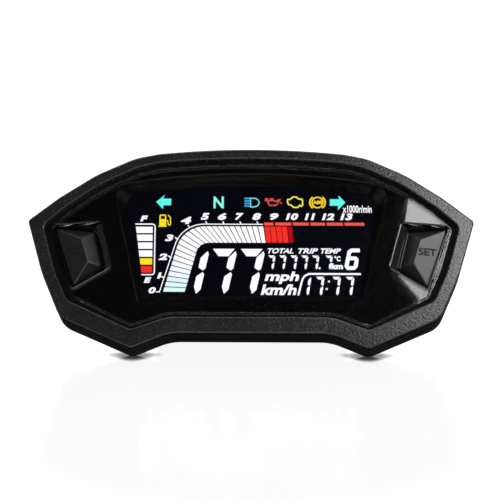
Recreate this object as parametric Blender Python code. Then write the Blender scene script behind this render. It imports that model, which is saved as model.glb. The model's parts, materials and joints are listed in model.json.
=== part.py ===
"""Motorcycle instrument cluster, built as an assembly of separate pieces.

Every piece is drawn in the dial's own directions: x to the right, height up the dial and depth straight
back from the bezel's front face, all in millimetres.  The empty "lean" then tips the whole stack back, so
that it stands on the rear edges of its two lower points and on the lower rear edge of its back pod.
"""

import math

import bmesh
import bpy
from mathutils import Vector

MM = 0.001
GAP = 0.3                      # clearance between faces that touch on the real part

# Overall pose
LEAN = math.radians(30.0)      # the dial's tilt back from vertical
LAND = 0.8                     # how far the resting edges are cut flat
DEPTH_SHIFT = -13.0            # puts the origin under the middle of the object's depth

# Depths from the bezel's front face
SKIRT_BACK = 4.2
LIP_FRONT = 2.9
LIP_BACK = 3.6
LENS_FRONT = 2.5
LENS_BACK = 5.2
MASK_FRONT = LENS_BACK + GAP
MASK_BACK = 7.0
LEDGE_FRONT = MASK_BACK + GAP
LEDGE_BACK = 9.0
WINDOW_DEPTH = 10.0
WALL_BACK = 20.0
CAVITY_BACK = 21.8
SHOULDER_BACK = 24.0
POD_BACK = 42.0
BOARD_FRONT = 18.5
BOARD_BACK = 20.1
WALL = 2.2                     # moulded wall thickness of the rear housing

# The case outline's right half, from the top centre down: a shallow crown, then corners with their radii
CROWN_REACH = 42.0
CASE = {
    "crown": 47.3, "drop": 2.2,
    "corners": [
        (52.3, 43.1, 30.0), (69.8, 35.3, 60.0), (86.7, 24.4, 40.0), (100.6, 13.6, 2.0),
        (93.8, -10.8, 60.0), (85.1, -31.7, 11.0), (53.2, -45.7, 4.0), (36.0, -38.6, 24.0),
    ],
}
OPENING = {
    "crown": 43.0, "drop": 2.1,
    "corners": [
        (50.8, 38.8, 28.0), (67.6, 31.2, 56.0), (83.3, 20.4, 40.0), (93.9, 11.3, 4.4),
        (88.4, -9.5, 60.0), (82.4, -23.4, 5.5), (53.5, -36.9, 3.5), (37.2, -31.0, 24.0),
    ],
}
PLATE = {
    "crown": 43.0, "drop": 2.1,
    "corners": [
        (50.8, 38.8, 28.0), (67.6, 31.2, 56.0), (82.9, 20.4, 40.0), (92.8, 11.9, 4.4),
        (87.0, -9.5, 60.0), (81.2, -22.9, 5.5), (53.5, -36.9, 3.5), (37.2, -31.0, 24.0),
    ],
}
RECESS = {"crown": 36.8, "drop": 2.5, "corners": [(62.3, 31.4, 7.0), (50.2, -24.3, 4.0)]}
WINDOW = {"crown": 32.5, "drop": 2.4, "corners": [(57.9, 28.2, 6.0), (48.9, -19.3, 3.0)]}

# The two buttons, right-hand one; the left one is its mirror image
CAP = [(71.2, 9.8), (88.2, 10.7), (79.9, -15.6), (67.6, -6.0)]
CAP_RIM_DEPTH = [6.5, 4.4, 5.7, 6.6]
CAP_RIDGE = [(76.3, 5.4, 1.7), (73.2, -5.2, 2.3)]
APERTURE = [(68.3, 13.4), (89.4, 11.8), (80.1, -17.3), (63.0, -7.0)]
CAP_BACK = 8.9
FLANGE_BACK = 10.0
STEM = (77.6, -1.6)
STEM_BACK = 14.9
TRAVEL = 0.8                   # how far a button pushes in
WELL_BACK = 11.9               # back of the mask's well round each button, and of the seal in it
PLUNGER_FRONT = STEM_BACK + GAP
SWITCH_FRONT = 15.8
SWITCH_BACK = BOARD_FRONT - GAP

# The liquid crystal stack: half width, bottom, top, front depth, back depth
FILM = (58.3, -20.5, 32.9)
GLASS = (59.3, -22.3, 33.5)
GLASS_LEDGE = 4.2              # the front glass reaches this far below the rear glass, for its contacts
STACK_DEPTHS = {
    "lcd_front_polarizer": (10.3, 10.6), "lcd_front_glass": (10.9, 12.0), "lcd_rear_glass": (12.3, 13.4),
    "lcd_rear_polarizer": (13.7, 14.0), "backlight_diffuser": (14.3, 14.6), "light_guide": (14.9, 16.7),
}

# Fasteners and fittings
CASE_SCREWS = [(96.1, 11.8), (82.9, -26.6), (53.4, -40.6)]
BOARD_SCREWS = [(66.0, 18.0), (66.0, -22.0)]
INSERTS = [(-37.0, 8.0), (37.0, 8.0), (0.0, -18.0)]
ISOLATOR_BACK = 45.3
POD_TOP = 25.0
SOCKET = (0.0, 8.0)            # centre of the harness socket
SOCKET_HALF = (13.4, 6.4)      # half of the socket's inside width and height
SOCKET_WALL = 1.6
SOCKET_FRONT = 30.0
SOCKET_BACK = 46.0
VENT = (-25.0, -15.0)


def clear_scene():
    for thing in list(bpy.data.objects):
        bpy.data.objects.remove(thing, do_unlink=True)


# ---------------------------------------------------------------- outlines, as lists of (x, height)

def half_to_whole(shape):
    """Every corner of a symmetric outline as (x, height, radius), clockwise from the top centre."""
    crown, drop = shape["crown"], shape["drop"]
    right = [(reach * CROWN_REACH, crown - drop * reach * reach, 0.0) for reach in (1 / 3, 2 / 3, 1.0)]
    right += shape["corners"]
    left = [(-x, height, radius) for x, height, radius in reversed(right)]
    return [(0.0, crown, 0.0)] + right + left


def inset(corners, distance):
    """The corners moved inward by a distance, with their radii changed to suit."""
    moved = []
    count = len(corners)
    for index, (x, height, radius) in enumerate(corners):
        here = Vector((x, height))
        before = (here - Vector(corners[index - 1][:2])).normalized()
        after = (Vector(corners[(index + 1) % count][:2]) - here).normalized()
        inward = Vector((before.y + after.y, -before.x - after.x)) / (1.0 + before.dot(after))
        turn = before.x * after.y - before.y * after.x
        if radius:
            radius = max(radius - distance, 0.8) if turn < 0 else radius + distance
        moved.append((x + inward.x * distance, height + inward.y * distance, radius))
    return moved


def rounded(corners):
    """The outline through the corners, with an arc at each corner that has a radius."""
    outline = []
    count = len(corners)
    for index, (x, height, radius) in enumerate(corners):
        here = Vector((x, height))
        if not radius:
            outline.append((x, height))
            continue
        before = Vector(corners[index - 1][:2]) - here
        after = Vector(corners[(index + 1) % count][:2]) - here
        half_angle = before.angle(after) / 2
        reach = min(radius / math.tan(half_angle), 0.47 * before.length, 0.47 * after.length)
        start, end = here + before.normalized() * reach, here + after.normalized() * reach
        steps = 2 if radius >= 20 else 4
        weight = math.sin(half_angle)
        for step in range(steps + 1):
            t = step / steps
            a, b, c = (1 - t) ** 2, 2 * t * (1 - t) * weight, t * t
            point = (start * a + here * b + end * c) / (a + b + c)
            outline.append((point.x, point.y))
    return outline


def outline_of(shape, distance=0.0):
    """A symmetric shape's outline, moved inward by a distance."""
    return rounded(inset(half_to_whole(shape), distance))


def carried_on(first, second):
    """The outline found by going on past the second one, half as far again as from the first to it."""
    return [(x2 + (x2 - x1) / 2, h2 + (h2 - h1) / 2) for (x1, h1), (x2, h2) in zip(first, second)]


def button_outline(points, side, grow, radius):
    """An outline around a button, grown outward, mirrored to the left where side is -1."""
    corners = [(x, height, radius) for x, height in points]
    if side < 0:
        corners = [(-x, height, r) for x, height, r in reversed(corners)]
    return rounded(inset(corners, -grow))


def rectangle(half_width, bottom, top, radius=0.0, centre=0.0):
    left, right = centre - half_width, centre + half_width
    corners = [(left, top), (right, top), (right, bottom), (left, bottom)]
    return rounded([(x, height, radius) for x, height in corners])


def circle(x, height, radius, count=16):
    turns = [2 * math.pi * step / count for step in range(count)]
    return [(x + radius * math.sin(turn), height + radius * math.cos(turn)) for turn in turns]


# ---------------------------------------------------------------- solids

def finish_mesh(mesh, name):
    """An object from a bmesh, with its faces pointing out."""
    bmesh.ops.recalc_face_normals(mesh, faces=mesh.faces)
    data = bpy.data.meshes.new(name)
    mesh.to_mesh(data)
    mesh.free()
    thing = bpy.data.objects.new(name, data)
    bpy.context.collection.objects.link(thing)
    return thing


def loft(name, levels, ring=False):
    """A solid through outlines of equal length at given depths: capped, or closed on itself as a ring."""
    mesh = bmesh.new()
    loops = [
        [mesh.verts.new((x * MM, depth * MM, height * MM)) for x, height in outline]
        for outline, depth in levels
    ]
    pairs = list(zip(loops, loops[1:] + loops[:1])) if ring else list(zip(loops, loops[1:]))
    for first, second in pairs:
        for index in range(len(first)):
            after = (index + 1) % len(first)
            mesh.faces.new((first[index], first[after], second[after], second[index]))
    if not ring:
        mesh.faces.new(loops[0])
        mesh.faces.new(loops[-1])
    return finish_mesh(mesh, name)


def prism(name, outline, front, back):
    return loft(name, [(outline, front), (outline, back)])


def band(name, outer, inner, front, back):
    """A flat ring between two outlines of equal length."""
    return loft(name, [(outer, front), (outer, back), (inner, back), (inner, front)], ring=True)


def combine(thing, tools, operation):
    """Joins the tools to an object, or cuts them out of it, and removes them."""
    for tool in tools:
        change = thing.modifiers.new("combine", "BOOLEAN")
        change.object = tool
        change.operation = operation
        bpy.context.view_layer.update()
        evaluated = thing.evaluated_get(bpy.context.evaluated_depsgraph_get())
        result = bpy.data.meshes.new_from_object(evaluated)
        thing.modifiers.clear()
        thing.data = result
        bpy.data.objects.remove(tool, do_unlink=True)
    return thing


def join(thing, *tools):
    return combine(thing, tools, "UNION")


def cut(thing, *tools):
    return combine(thing, tools, "DIFFERENCE")


def set_origin(thing, x, height, depth):
    """Moves an object's origin to a place without moving its shape."""
    place = Vector((x, depth, height)) * MM
    for vertex in thing.data.vertices:
        vertex.co -= place
    thing.location = place
    return thing


def turned(name, x, height, profile, count=16):
    """A round piece about a line straight back, from its (radius, depth) pairs, front to back."""
    return loft(name, [(circle(x, height, radius, count), depth) for radius, depth in profile])


# ---------------------------------------------------------------- case and front

def make_front_bezel():
    bezel = loft("front_bezel", [
        (outline_of(CASE, 0.9), 0.0), (outline_of(CASE, 0.26), 0.26), (outline_of(CASE), 0.9),
        (outline_of(CASE, 0.1), SKIRT_BACK), (outline_of(CASE, 1.9), SKIRT_BACK),
        (outline_of(CASE, 1.9), LIP_BACK), (outline_of(PLATE, 1.6), LIP_BACK),
        (outline_of(PLATE, 1.6), LIP_FRONT), (outline_of(OPENING, 0.6), LIP_FRONT),
        (outline_of(OPENING), 0.3), (outline_of(OPENING, -0.4), 0.0),
    ], ring=True)
    for x, height in both_sides(CASE_SCREWS):
        join(bezel, prism("boss", circle(x, height, 1.9, 12), LIP_BACK - 1.0, LEDGE_BACK))
        cut(bezel, prism("pilot", circle(x, height, 1.3, 8), 1.5, LEDGE_BACK + 1.0))
    return bezel


def make_lens():
    lens = loft("lens", [
        (outline_of(PLATE, 2.6), LENS_FRONT), (outline_of(PLATE, 1.9), LENS_FRONT + 0.6),
        (outline_of(PLATE, 1.9), LIP_BACK + GAP), (outline_of(OPENING, -0.6), LIP_BACK + GAP),
        (outline_of(OPENING, -0.6), LENS_BACK),
    ])
    for side in (-1, 1):
        cut(lens, prism("aperture", button_outline(APERTURE, side, 0.0, 1.0), 0.0, LENS_BACK + 1.0))
    return lens


def make_lens_seal():
    return band("lens_seal", outline_of(OPENING, -0.6), outline_of(OPENING, 0.4), MASK_FRONT, MASK_BACK)


def make_dial_mask():
    mask = prism("dial_mask", outline_of(OPENING, 0.7), MASK_FRONT, MASK_BACK)
    inside = MASK_FRONT + 0.7
    join(mask, loft("funnel", [(outline_of(RECESS, -1.3), inside), (outline_of(WINDOW, -3.0), WINDOW_DEPTH)]))
    for side in (-1, 1):
        join(mask, prism("well", button_outline(CAP, side, 2.0, 2.5), inside, WELL_BACK))
    recess, window = outline_of(RECESS), outline_of(WINDOW)
    step = (WINDOW_DEPTH - MASK_FRONT) / 2
    cut(mask, loft("recess", [
        (carried_on(window, recess), MASK_FRONT - step), (carried_on(recess, window), WINDOW_DEPTH + step),
    ]))
    for side in (-1, 1):
        mouth = button_outline(APERTURE, side, 0.0, 1.0)
        throat = button_outline(CAP, side, 0.5, 0.3)
        well = button_outline(CAP, side, 1.1, 1.8)
        cut(mask, loft("pocket", [
            (mouth, MASK_FRONT - 1.0), (mouth, MASK_FRONT), (throat, 7.7), (throat, CAP_BACK + TRAVEL + 0.5),
        ]))
        cut(mask, prism("well", well, CAP_BACK - GAP, WELL_BACK + 1.0))
    return mask


def make_rear_housing():
    housing = loft("rear_housing", [
        (outline_of(CASE, 0.11), SKIRT_BACK + GAP), (outline_of(CASE, 0.5), WALL_BACK),
        (outline_of(CASE, 1.3), WALL_BACK + 1.0), (outline_of(CASE, 8.5), SHOULDER_BACK),
    ])
    join(housing, prism("pod", pod_outline(1.0, 0.0), CAVITY_BACK - 1.0, SHOULDER_BACK + 0.2))
    join(housing, loft("pod", [
        (pod_outline(1.0, 0.0), SHOULDER_BACK - 0.5), (pod_outline(0.0, 0.0), POD_BACK - 1.2),
        (pod_outline(0.0, 1.0, keep_bottom=True), POD_BACK),
    ]))
    cavity_wall = WALL + 0.4
    cut(housing, loft("cavity", [
        (outline_of(CASE, cavity_wall - 0.3), SKIRT_BACK), (outline_of(CASE, cavity_wall), WALL_BACK - 1.2),
        (outline_of(CASE, 9.4), CAVITY_BACK),
    ]))
    cut(housing, loft("pod_cavity", [
        (pod_outline(1.0, WALL), CAVITY_BACK - 2.0), (pod_outline(0.0, WALL), POD_BACK - WALL),
    ]))
    join(housing, band("ledge", outline_of(CASE, 1.9), outline_of(OPENING, 0.9), LEDGE_FRONT, LEDGE_BACK))
    cut(housing, band("groove", outline_of(CASE, 0.9), outline_of(CASE, 1.7), SKIRT_BACK, 5.6))
    for x, height in both_sides(CASE_SCREWS):
        join(housing, prism("boss", circle(x, height, 3.0, 12), LEDGE_BACK - 0.8, WALL_BACK + 0.35))
        cut(housing, prism("seat", circle(x, height, 2.4, 12), SKIRT_BACK, LEDGE_BACK + GAP))
        cut(housing, prism("hole", circle(x, height, 1.3, 8), LEDGE_BACK, 18.0))
        cut(housing, prism("counterbore", circle(x, height, 2.45, 12), 17.5, SHOULDER_BACK + 1.0))
    for x, height in both_sides(BOARD_SCREWS):
        join(housing, prism("board_boss", circle(x, height, 3.0, 12), BOARD_BACK + GAP, CAVITY_BACK + 1.0))
        cut(housing, prism("board_pilot", circle(x, height, 1.3, 8), BOARD_BACK - 1.0, CAVITY_BACK + 0.9))
    for x, height in INSERTS:
        join(housing, prism("insert_boss", circle(x, height, 6.4), 29.5, POD_BACK - 1.0))
        cut(housing, prism("insert_hole", circle(x, height, 4.3), 30.7, POD_BACK + 1.0))
    x, height = SOCKET
    wide, tall = SOCKET_HALF[0] + SOCKET_WALL + GAP, SOCKET_HALF[1] + SOCKET_WALL + GAP
    opening = rectangle(wide, height - tall, height + tall, 2.0, x)
    cut(housing, prism("socket_hole", opening, 38.0, POD_BACK + 1.0))
    cut(housing, prism("vent_hole", circle(*VENT, 2.2, 12), 38.0, POD_BACK + 1.0))
    cut_flat(housing)
    return housing


def pod_outline(grow, shrink, keep_bottom=False):
    """The back pod's outline at its rear, grown for its draft and shrunk for its wall."""
    bottom = pod_bottom()
    corners = [(-49.0, POD_TOP, 9.0), (49.0, POD_TOP, 9.0), (43.0, bottom, 6.0), (-43.0, bottom, 6.0)]
    corners = inset(corners, shrink - grow)
    if keep_bottom:
        corners = corners[:2] + [(x, bottom, radius) for x, _, radius in corners[2:]]
    return rounded(corners)


def lowest_point():
    """How low the case's two points reach, measured square to the floor."""
    tip = min(height for _, height in outline_of(CASE, 0.5))
    return tip * math.cos(LEAN) - WALL_BACK * math.sin(LEAN)


def pod_bottom():
    """The height on the dial at which the pod's rear edge meets the same floor as the two points."""
    return (lowest_point() + POD_BACK * math.sin(LEAN)) / math.cos(LEAN)


def cut_flat(housing):
    """Cuts the resting edges to one flat plane, parallel to the floor."""
    up = Vector((0.0, -math.sin(LEAN), math.cos(LEAN)))
    mesh = bmesh.new()
    mesh.from_mesh(housing.data)
    bmesh.ops.bisect_plane(
        mesh, geom=mesh.verts[:] + mesh.edges[:] + mesh.faces[:], dist=1e-7,
        plane_co=up * (lowest_point() + LAND) * MM, plane_no=up, clear_inner=True,
    )
    bmesh.ops.holes_fill(mesh, edges=[edge for edge in mesh.edges if edge.is_boundary], sides=0)
    bmesh.ops.recalc_face_normals(mesh, faces=mesh.faces)
    mesh.to_mesh(housing.data)
    mesh.free()


def make_housing_gasket():
    return band("housing_gasket", outline_of(CASE, 1.05), outline_of(CASE, 1.55), SKIRT_BACK + GAP, 5.3)


# ---------------------------------------------------------------- buttons and their switches

def make_button(name, side):
    outline = [(side * x, height) for x, height in CAP]
    mesh = bmesh.new()
    rim = [(x, depth, height) for (x, height), depth in zip(outline, CAP_RIM_DEPTH)]
    ridge = [(side * x, depth, height) for x, height, depth in CAP_RIDGE]
    back = [(x, CAP_BACK, height) for x, height in outline]
    rim, ridge, back = ([mesh.verts.new(Vector(point) * MM) for point in loop] for loop in (rim, ridge, back))
    top_inner, top_outer, bottom, inner_bottom = rim
    upper, lower = ridge
    mesh.faces.new((upper, top_inner, top_outer))
    mesh.faces.new((upper, top_outer, bottom, lower))
    mesh.faces.new((lower, bottom, inner_bottom))
    mesh.faces.new((upper, lower, inner_bottom, top_inner))
    for index in range(4):
        after = (index + 1) % 4
        mesh.faces.new((rim[index], rim[after], back[after], back[index]))
    mesh.faces.new(back)
    bmesh.ops.triangulate(mesh, faces=mesh.faces)
    button = finish_mesh(mesh, name)
    join(button, prism("flange", button_outline(CAP, side, 0.7, 1.5), CAP_BACK - 0.01, FLANGE_BACK))
    join(button, prism("stem", circle(side * STEM[0], STEM[1], 3.0), FLANGE_BACK - 0.5, STEM_BACK))
    return set_origin(button, side * STEM[0], STEM[1], CAP_BACK)


def make_button_seal(name, side):
    seal = prism(name, button_outline(CAP, side, 0.8, 1.6), WELL_BACK - 0.7, WELL_BACK)
    return cut(seal, prism("hole", circle(side * STEM[0], STEM[1], 3.3), 10.0, 13.0))


def make_tact_switch(name, side):
    x, height = side * STEM[0], STEM[1]
    switch = prism(name, rectangle(3.1, height - 3.1, height + 3.1, 0.0, x), SWITCH_FRONT, SWITCH_BACK)
    return cut(switch, prism("hole", circle(x, height, 2.1), SWITCH_FRONT - 1.0, 17.6))


def make_tact_plunger(name, side):
    x, height = side * STEM[0], STEM[1]
    plunger = turned(name, x, height, [(1.5, PLUNGER_FRONT), (1.75, PLUNGER_FRONT + 0.25), (1.75, 16.5)])
    return set_origin(plunger, x, height, PLUNGER_FRONT)


# ---------------------------------------------------------------- display, light and board

def make_layer(name, size):
    half_width, bottom, top = size
    return prism(name, rectangle(half_width, bottom, top), *STACK_DEPTHS[name])


def make_block(name, centre, half_width, heights, depths, radius=0.0):
    return prism(name, rectangle(half_width, *heights, radius, centre), *depths)


def make_reflector_tray():
    half_width, bottom, top = GLASS
    tray = prism("reflector_tray", rectangle(half_width, bottom, top), 14.9, BOARD_FRONT - GAP)
    return cut(tray, prism("pocket", rectangle(half_width - 1.2, bottom + 1.2, top - 1.2), 13.0, 17.0))


def make_lcd_frame():
    half_width, bottom, top = GLASS
    bottom -= GLASS_LEDGE
    outer = rectangle(half_width + 1.7, bottom - 1.9, top + 1.5, 2.0)
    inner = rectangle(half_width + 0.4, bottom - 0.4, top + 0.4, 0.8)
    return band("lcd_frame", outer, inner, WINDOW_DEPTH + GAP, BOARD_FRONT - GAP)


def make_main_board():
    board = prism("main_board", outline_of(CASE, 9.0), BOARD_FRONT, BOARD_BACK)
    for x, height in both_sides(BOARD_SCREWS):
        cut(board, prism("hole", circle(x, height, 1.5, 12), BOARD_FRONT - 1.0, BOARD_BACK + 1.0))
    return board


def make_connector_shell():
    x, height = SOCKET
    wide, tall = SOCKET_HALF
    outer = rectangle(wide + SOCKET_WALL, height - tall - SOCKET_WALL, height + tall + SOCKET_WALL, 1.8, x)
    shell = prism("connector_shell", outer, SOCKET_FRONT, SOCKET_BACK)
    flange = rectangle(wide + 4.0, height - tall - 4.0, height + tall + 4.0, 2.0, x)
    inside = rectangle(wide, height - tall, height + tall, 1.0, x)
    join(shell, prism("flange", flange, 36.0, 38.0))
    cut(shell, prism("inside", inside, SOCKET_FRONT + 1.8, 50.0))
    slot = rectangle(10.6, height - 2.6, height + 2.6, 0.0, x)
    cut(shell, prism("slot", slot, SOCKET_FRONT - 1.0, SOCKET_FRONT + 3.0))
    return shell


def make_connector_pins():
    x, height = SOCKET
    block = prism("connector_pins", rectangle(10.3, height - 2.3, height + 2.3, 0.0, x), 24.0, 33.0)
    for column in range(4):
        for row in (-1.1, 1.1):
            centre = x + (column - 1.5) * 5.2
            pin = rectangle(0.5, height + row - 0.5, height + row + 0.5, 0.0, centre)
            join(block, prism("pin", pin, BOARD_BACK + GAP, 39.5))
    return block


def make_connector_gasket():
    x, height = SOCKET
    wide, tall = SOCKET_HALF[0] + SOCKET_WALL, SOCKET_HALF[1] + SOCKET_WALL
    outer = rectangle(wide + 2.2, height - tall - 2.2, height + tall + 2.2, 2.0, x)
    inner = rectangle(wide + 0.4, height - tall - 0.4, height + tall + 0.4, 2.0, x)
    return band("connector_gasket", outer, inner, 38.3, 39.5)


def make_vent_cap():
    seat = POD_BACK + GAP
    return turned("vent_cap", *VENT, [(1.8, 38.5), (1.8, seat), (6.0, seat), (6.0, 44.0), (5.2, 44.8)])


# ---------------------------------------------------------------- assembly

def both_sides(places):
    return [(side * x, height) for x, height in places for side in (-1, 1)]


def make_pieces():
    """Every piece, as (object, colour, roughness, metallic)."""
    black, rubber, board_green = (0.012, 0.012, 0.013), (0.02, 0.02, 0.02), (0.02, 0.11, 0.05)
    steel, brass, clear = (0.55, 0.55, 0.56), (0.72, 0.52, 0.22), (0.35, 0.38, 0.4)
    film, white, chip = (0.05, 0.06, 0.08), (0.8, 0.8, 0.8), (0.03, 0.03, 0.035)
    on_board = BOARD_BACK + GAP
    pieces = [
        (make_front_bezel(), black, 0.55, 0.0),
        (make_lens(), (0.02, 0.02, 0.022), 0.08, 0.0),
        (make_lens_seal(), rubber, 0.8, 0.0),
        (make_dial_mask(), black, 0.3, 0.0),
        (make_rear_housing(), black, 0.6, 0.0),
        (make_housing_gasket(), rubber, 0.8, 0.0),
        (make_layer("lcd_front_polarizer", FILM), film, 0.3, 0.0),
        (make_layer("lcd_front_glass", (GLASS[0], GLASS[1] - GLASS_LEDGE, GLASS[2])), clear, 0.1, 0.0),
        (make_layer("lcd_rear_glass", GLASS), clear, 0.1, 0.0),
        (make_layer("lcd_rear_polarizer", FILM), film, 0.3, 0.0),
        (make_layer("backlight_diffuser", FILM), white, 0.6, 0.0),
        (make_layer("light_guide", (55.6, -20.8, 32.0)), clear, 0.15, 0.0),
        (make_reflector_tray(), white, 0.5, 0.0),
        (make_lcd_frame(), chip, 0.6, 0.0),
        (make_block("zebra_strip", 0.0, 55.0, (-25.8, -23.6), (12.3, BOARD_FRONT - GAP)), rubber, 0.8, 0.0),
        (make_main_board(), board_green, 0.5, 0.0),
        (make_block("microcontroller", -25.0, 7.0, (-13.0, 1.0), (on_board, 21.8)), chip, 0.5, 0.0),
        (make_block("voltage_regulator", 26.0, 3.3, (-3.0, 5.0), (on_board, 22.8)), chip, 0.5, 0.0),
        (make_block("crystal", -25.0, 5.5, (-20.5, -16.5), (on_board, 23.9), 1.9), steel, 0.3, 1.0),
        (make_connector_shell(), chip, 0.5, 0.0),
        (make_connector_pins(), brass, 0.3, 1.0),
        (make_connector_gasket(), rubber, 0.8, 0.0),
        (make_vent_cap(), chip, 0.5, 0.0),
    ]
    for number, height in enumerate((-12.0, -22.5), start=1):
        can = turned(f"capacitor_{number}", 20.0, height, [(4.0, on_board), (4.0, 29.8), (3.5, 30.4)])
        pieces.append((can, steel, 0.35, 1.0))
    for label, side in (("left", -1), ("right", 1)):
        bar = rectangle(0.85, -18.0, 30.0, 0.0, side * 56.9)
        pieces += [
            (prism(f"led_bar_{label}", bar, 14.9, 16.7), white, 0.4, 0.0),
            (make_tact_switch(f"{label}_tact_switch", side), chip, 0.5, 0.0),
            (make_tact_plunger(f"{label}_tact_plunger", side), rubber, 0.6, 0.0),
            (make_button_seal(f"{label}_button_seal", side), rubber, 0.8, 0.0),
        ]
    pieces += [
        (make_button("mode_button", -1), black, 0.5, 0.0),
        (make_button("set_button", 1), black, 0.5, 0.0),
    ]
    for number, (x, height) in enumerate(both_sides(CASE_SCREWS), start=1):
        profile = [(0.4, 2.2), (1.0, 3.0), (1.0, 17.8), (2.1, 17.8), (2.1, 19.0), (1.6, 19.5)]
        pieces.append((turned(f"case_screw_{number}", x, height, profile, 12), steel, 0.35, 1.0))
    for number, (x, height) in enumerate(both_sides(BOARD_SCREWS), start=1):
        front = BOARD_FRONT - GAP
        head = [(1.8, front - 1.5), (2.3, front - 1.1), (2.3, front)]
        profile = head + [(1.0, front), (1.0, 21.6), (0.4, 22.2)]
        pieces.append((turned(f"board_screw_{number}", x, height, profile, 12), steel, 0.35, 1.0))
    for number, (x, height) in enumerate(INSERTS, start=1):
        outer, bore = circle(x, height, 4.0), circle(x, height, 2.1)
        sleeve = band(f"mount_insert_{number}", outer, bore, 31.0, POD_BACK)
        outer, bore = circle(x, height, 8.0, 24), circle(x, height, 2.8, 24)
        washer = band(f"isolator_{number}", outer, bore, POD_BACK + GAP, ISOLATOR_BACK)
        pieces += [(sleeve, brass, 0.3, 1.0), (washer, rubber, 0.85, 0.0)]
    return pieces


def set_material(thing, colour, roughness, metallic):
    material = bpy.data.materials.new(thing.name)
    material.use_nodes = True
    shader = material.node_tree.nodes["Principled BSDF"]
    shader.inputs["Base Color"].default_value = (*colour, 1.0)
    shader.inputs["Roughness"].default_value = roughness
    shader.inputs["Metallic"].default_value = metallic
    thing.data.materials.clear()
    thing.data.materials.append(material)


def main():
    clear_scene()
    pieces = make_pieces()
    lean = bpy.data.objects.new("lean", None)
    bpy.context.collection.objects.link(lean)
    lean.rotation_euler = (-LEAN, 0.0, 0.0)
    rise = -(lowest_point() + LAND) * MM
    lean.location = (0.0, DEPTH_SHIFT * MM, rise)
    for thing, colour, roughness, metallic in pieces:
        set_material(thing, colour, roughness, metallic)
        thing.data.shade_smooth()
        thing.data.set_sharp_from_angle(angle=math.radians(32.0))
        thing.parent = lean


main()
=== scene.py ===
"""The instrument cluster's looks: fine shells, buttons, a lit dial, materials, light and camera."""

import json
import math

import bmesh
import bpy
from mathutils import Matrix, Vector


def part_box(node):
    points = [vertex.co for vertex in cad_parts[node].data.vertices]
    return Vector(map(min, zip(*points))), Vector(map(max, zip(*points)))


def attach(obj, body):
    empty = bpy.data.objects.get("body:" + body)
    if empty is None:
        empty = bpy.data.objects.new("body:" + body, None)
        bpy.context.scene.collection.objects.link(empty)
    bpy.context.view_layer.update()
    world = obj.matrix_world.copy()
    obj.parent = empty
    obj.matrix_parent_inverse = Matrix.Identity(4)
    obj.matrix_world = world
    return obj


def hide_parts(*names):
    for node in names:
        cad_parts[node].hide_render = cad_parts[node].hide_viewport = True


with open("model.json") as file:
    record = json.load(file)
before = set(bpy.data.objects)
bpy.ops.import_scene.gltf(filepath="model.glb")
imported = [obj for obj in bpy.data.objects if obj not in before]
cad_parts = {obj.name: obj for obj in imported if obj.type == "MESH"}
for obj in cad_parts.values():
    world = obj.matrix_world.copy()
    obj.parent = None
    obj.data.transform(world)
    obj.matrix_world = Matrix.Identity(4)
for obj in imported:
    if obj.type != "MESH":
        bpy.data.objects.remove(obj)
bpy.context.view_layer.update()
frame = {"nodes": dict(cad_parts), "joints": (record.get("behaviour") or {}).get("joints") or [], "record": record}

MM = 0.001
NODES, RECORD = frame["nodes"], frame["record"]

# The dial's own directions in the frame, and the point of the bezel's front face under its middle
RIGHT = Vector((1.0, 0.0, 0.0))
REAR = Vector(frame["joints"][0]["axis"]).normalized()
UP = RIGHT.cross(REAR)
BRACKET_FACE = (-31.6, 8.0, 45.3)      # the first bracket mount, on the dial: x, height, depth in mm
_mount = next(mount for mount in RECORD["mounts"] if mount["name"] == "bracket_face_1")
ORIGIN = Vector(_mount["pos_m"]) - (
    RIGHT * BRACKET_FACE[0] + UP * BRACKET_FACE[1] + REAR * BRACKET_FACE[2]) * MM
LEAN = math.asin(-REAR.z)
STAND = Matrix.Translation(ORIGIN) @ Matrix((RIGHT, REAR, UP)).transposed().to_4x4()

# Depths and outlines, in mm on the dial, the same as the CAD's
GAP = 0.3
SKIRT_BACK, LIP_FRONT, LIP_BACK = 4.2, 2.9, 3.6
LENS_FRONT, LENS_BACK = 2.5, 5.2
MASK_FRONT, MASK_BACK, WINDOW_DEPTH = 5.5, 7.0, 10.0
WALL, WALL_BACK, CAVITY_BACK, SHOULDER_BACK, POD_BACK = 2.2, 20.0, 21.8, 24.0, 42.0
LEDGE_BACK = 9.0
CAP_BACK, FLANGE_BACK, STEM_BACK, WELL_BACK, TRAVEL = 8.9, 10.0, 14.9, 11.9, 0.8
INK_FRONT, INK_BACK = 10.14, 10.24
CROWN_REACH = 42.0
CASE = {
    "crown": 47.3, "drop": 2.2,
    "corners": [
        (52.3, 43.1, 30.0), (69.8, 35.3, 60.0), (86.7, 24.4, 40.0), (100.6, 13.6, 2.0),
        (93.8, -10.8, 60.0), (85.1, -31.7, 11.0), (53.2, -45.7, 4.0), (36.0, -38.6, 24.0),
    ],
}
OPENING = {
    "crown": 43.0, "drop": 2.1,
    "corners": [
        (50.8, 38.8, 28.0), (67.6, 31.2, 56.0), (83.3, 20.4, 40.0), (93.9, 11.3, 4.4),
        (88.4, -9.5, 60.0), (82.4, -23.4, 5.5), (53.5, -36.9, 3.5), (37.2, -31.0, 24.0),
    ],
}
PLATE = {
    "crown": 43.0, "drop": 2.1,
    "corners": OPENING["corners"][:2] + [
        (82.9, 20.4, 40.0), (92.8, 11.9, 4.4), (87.0, -9.5, 60.0), (81.2, -22.9, 5.5),
    ] + OPENING["corners"][6:],
}
RECESS = {"crown": 36.8, "drop": 2.5, "corners": [(62.3, 31.4, 7.0), (50.2, -24.3, 4.0)]}
WINDOW = {"crown": 32.5, "drop": 2.4, "corners": [(57.9, 28.2, 6.0), (48.9, -19.3, 3.0)]}
CAP = [(71.2, 9.8), (88.2, 10.7), (79.9, -15.6), (67.6, -6.0)]
CAP_RIM_DEPTH = [6.5, 4.4, 5.7, 6.6]
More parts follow.
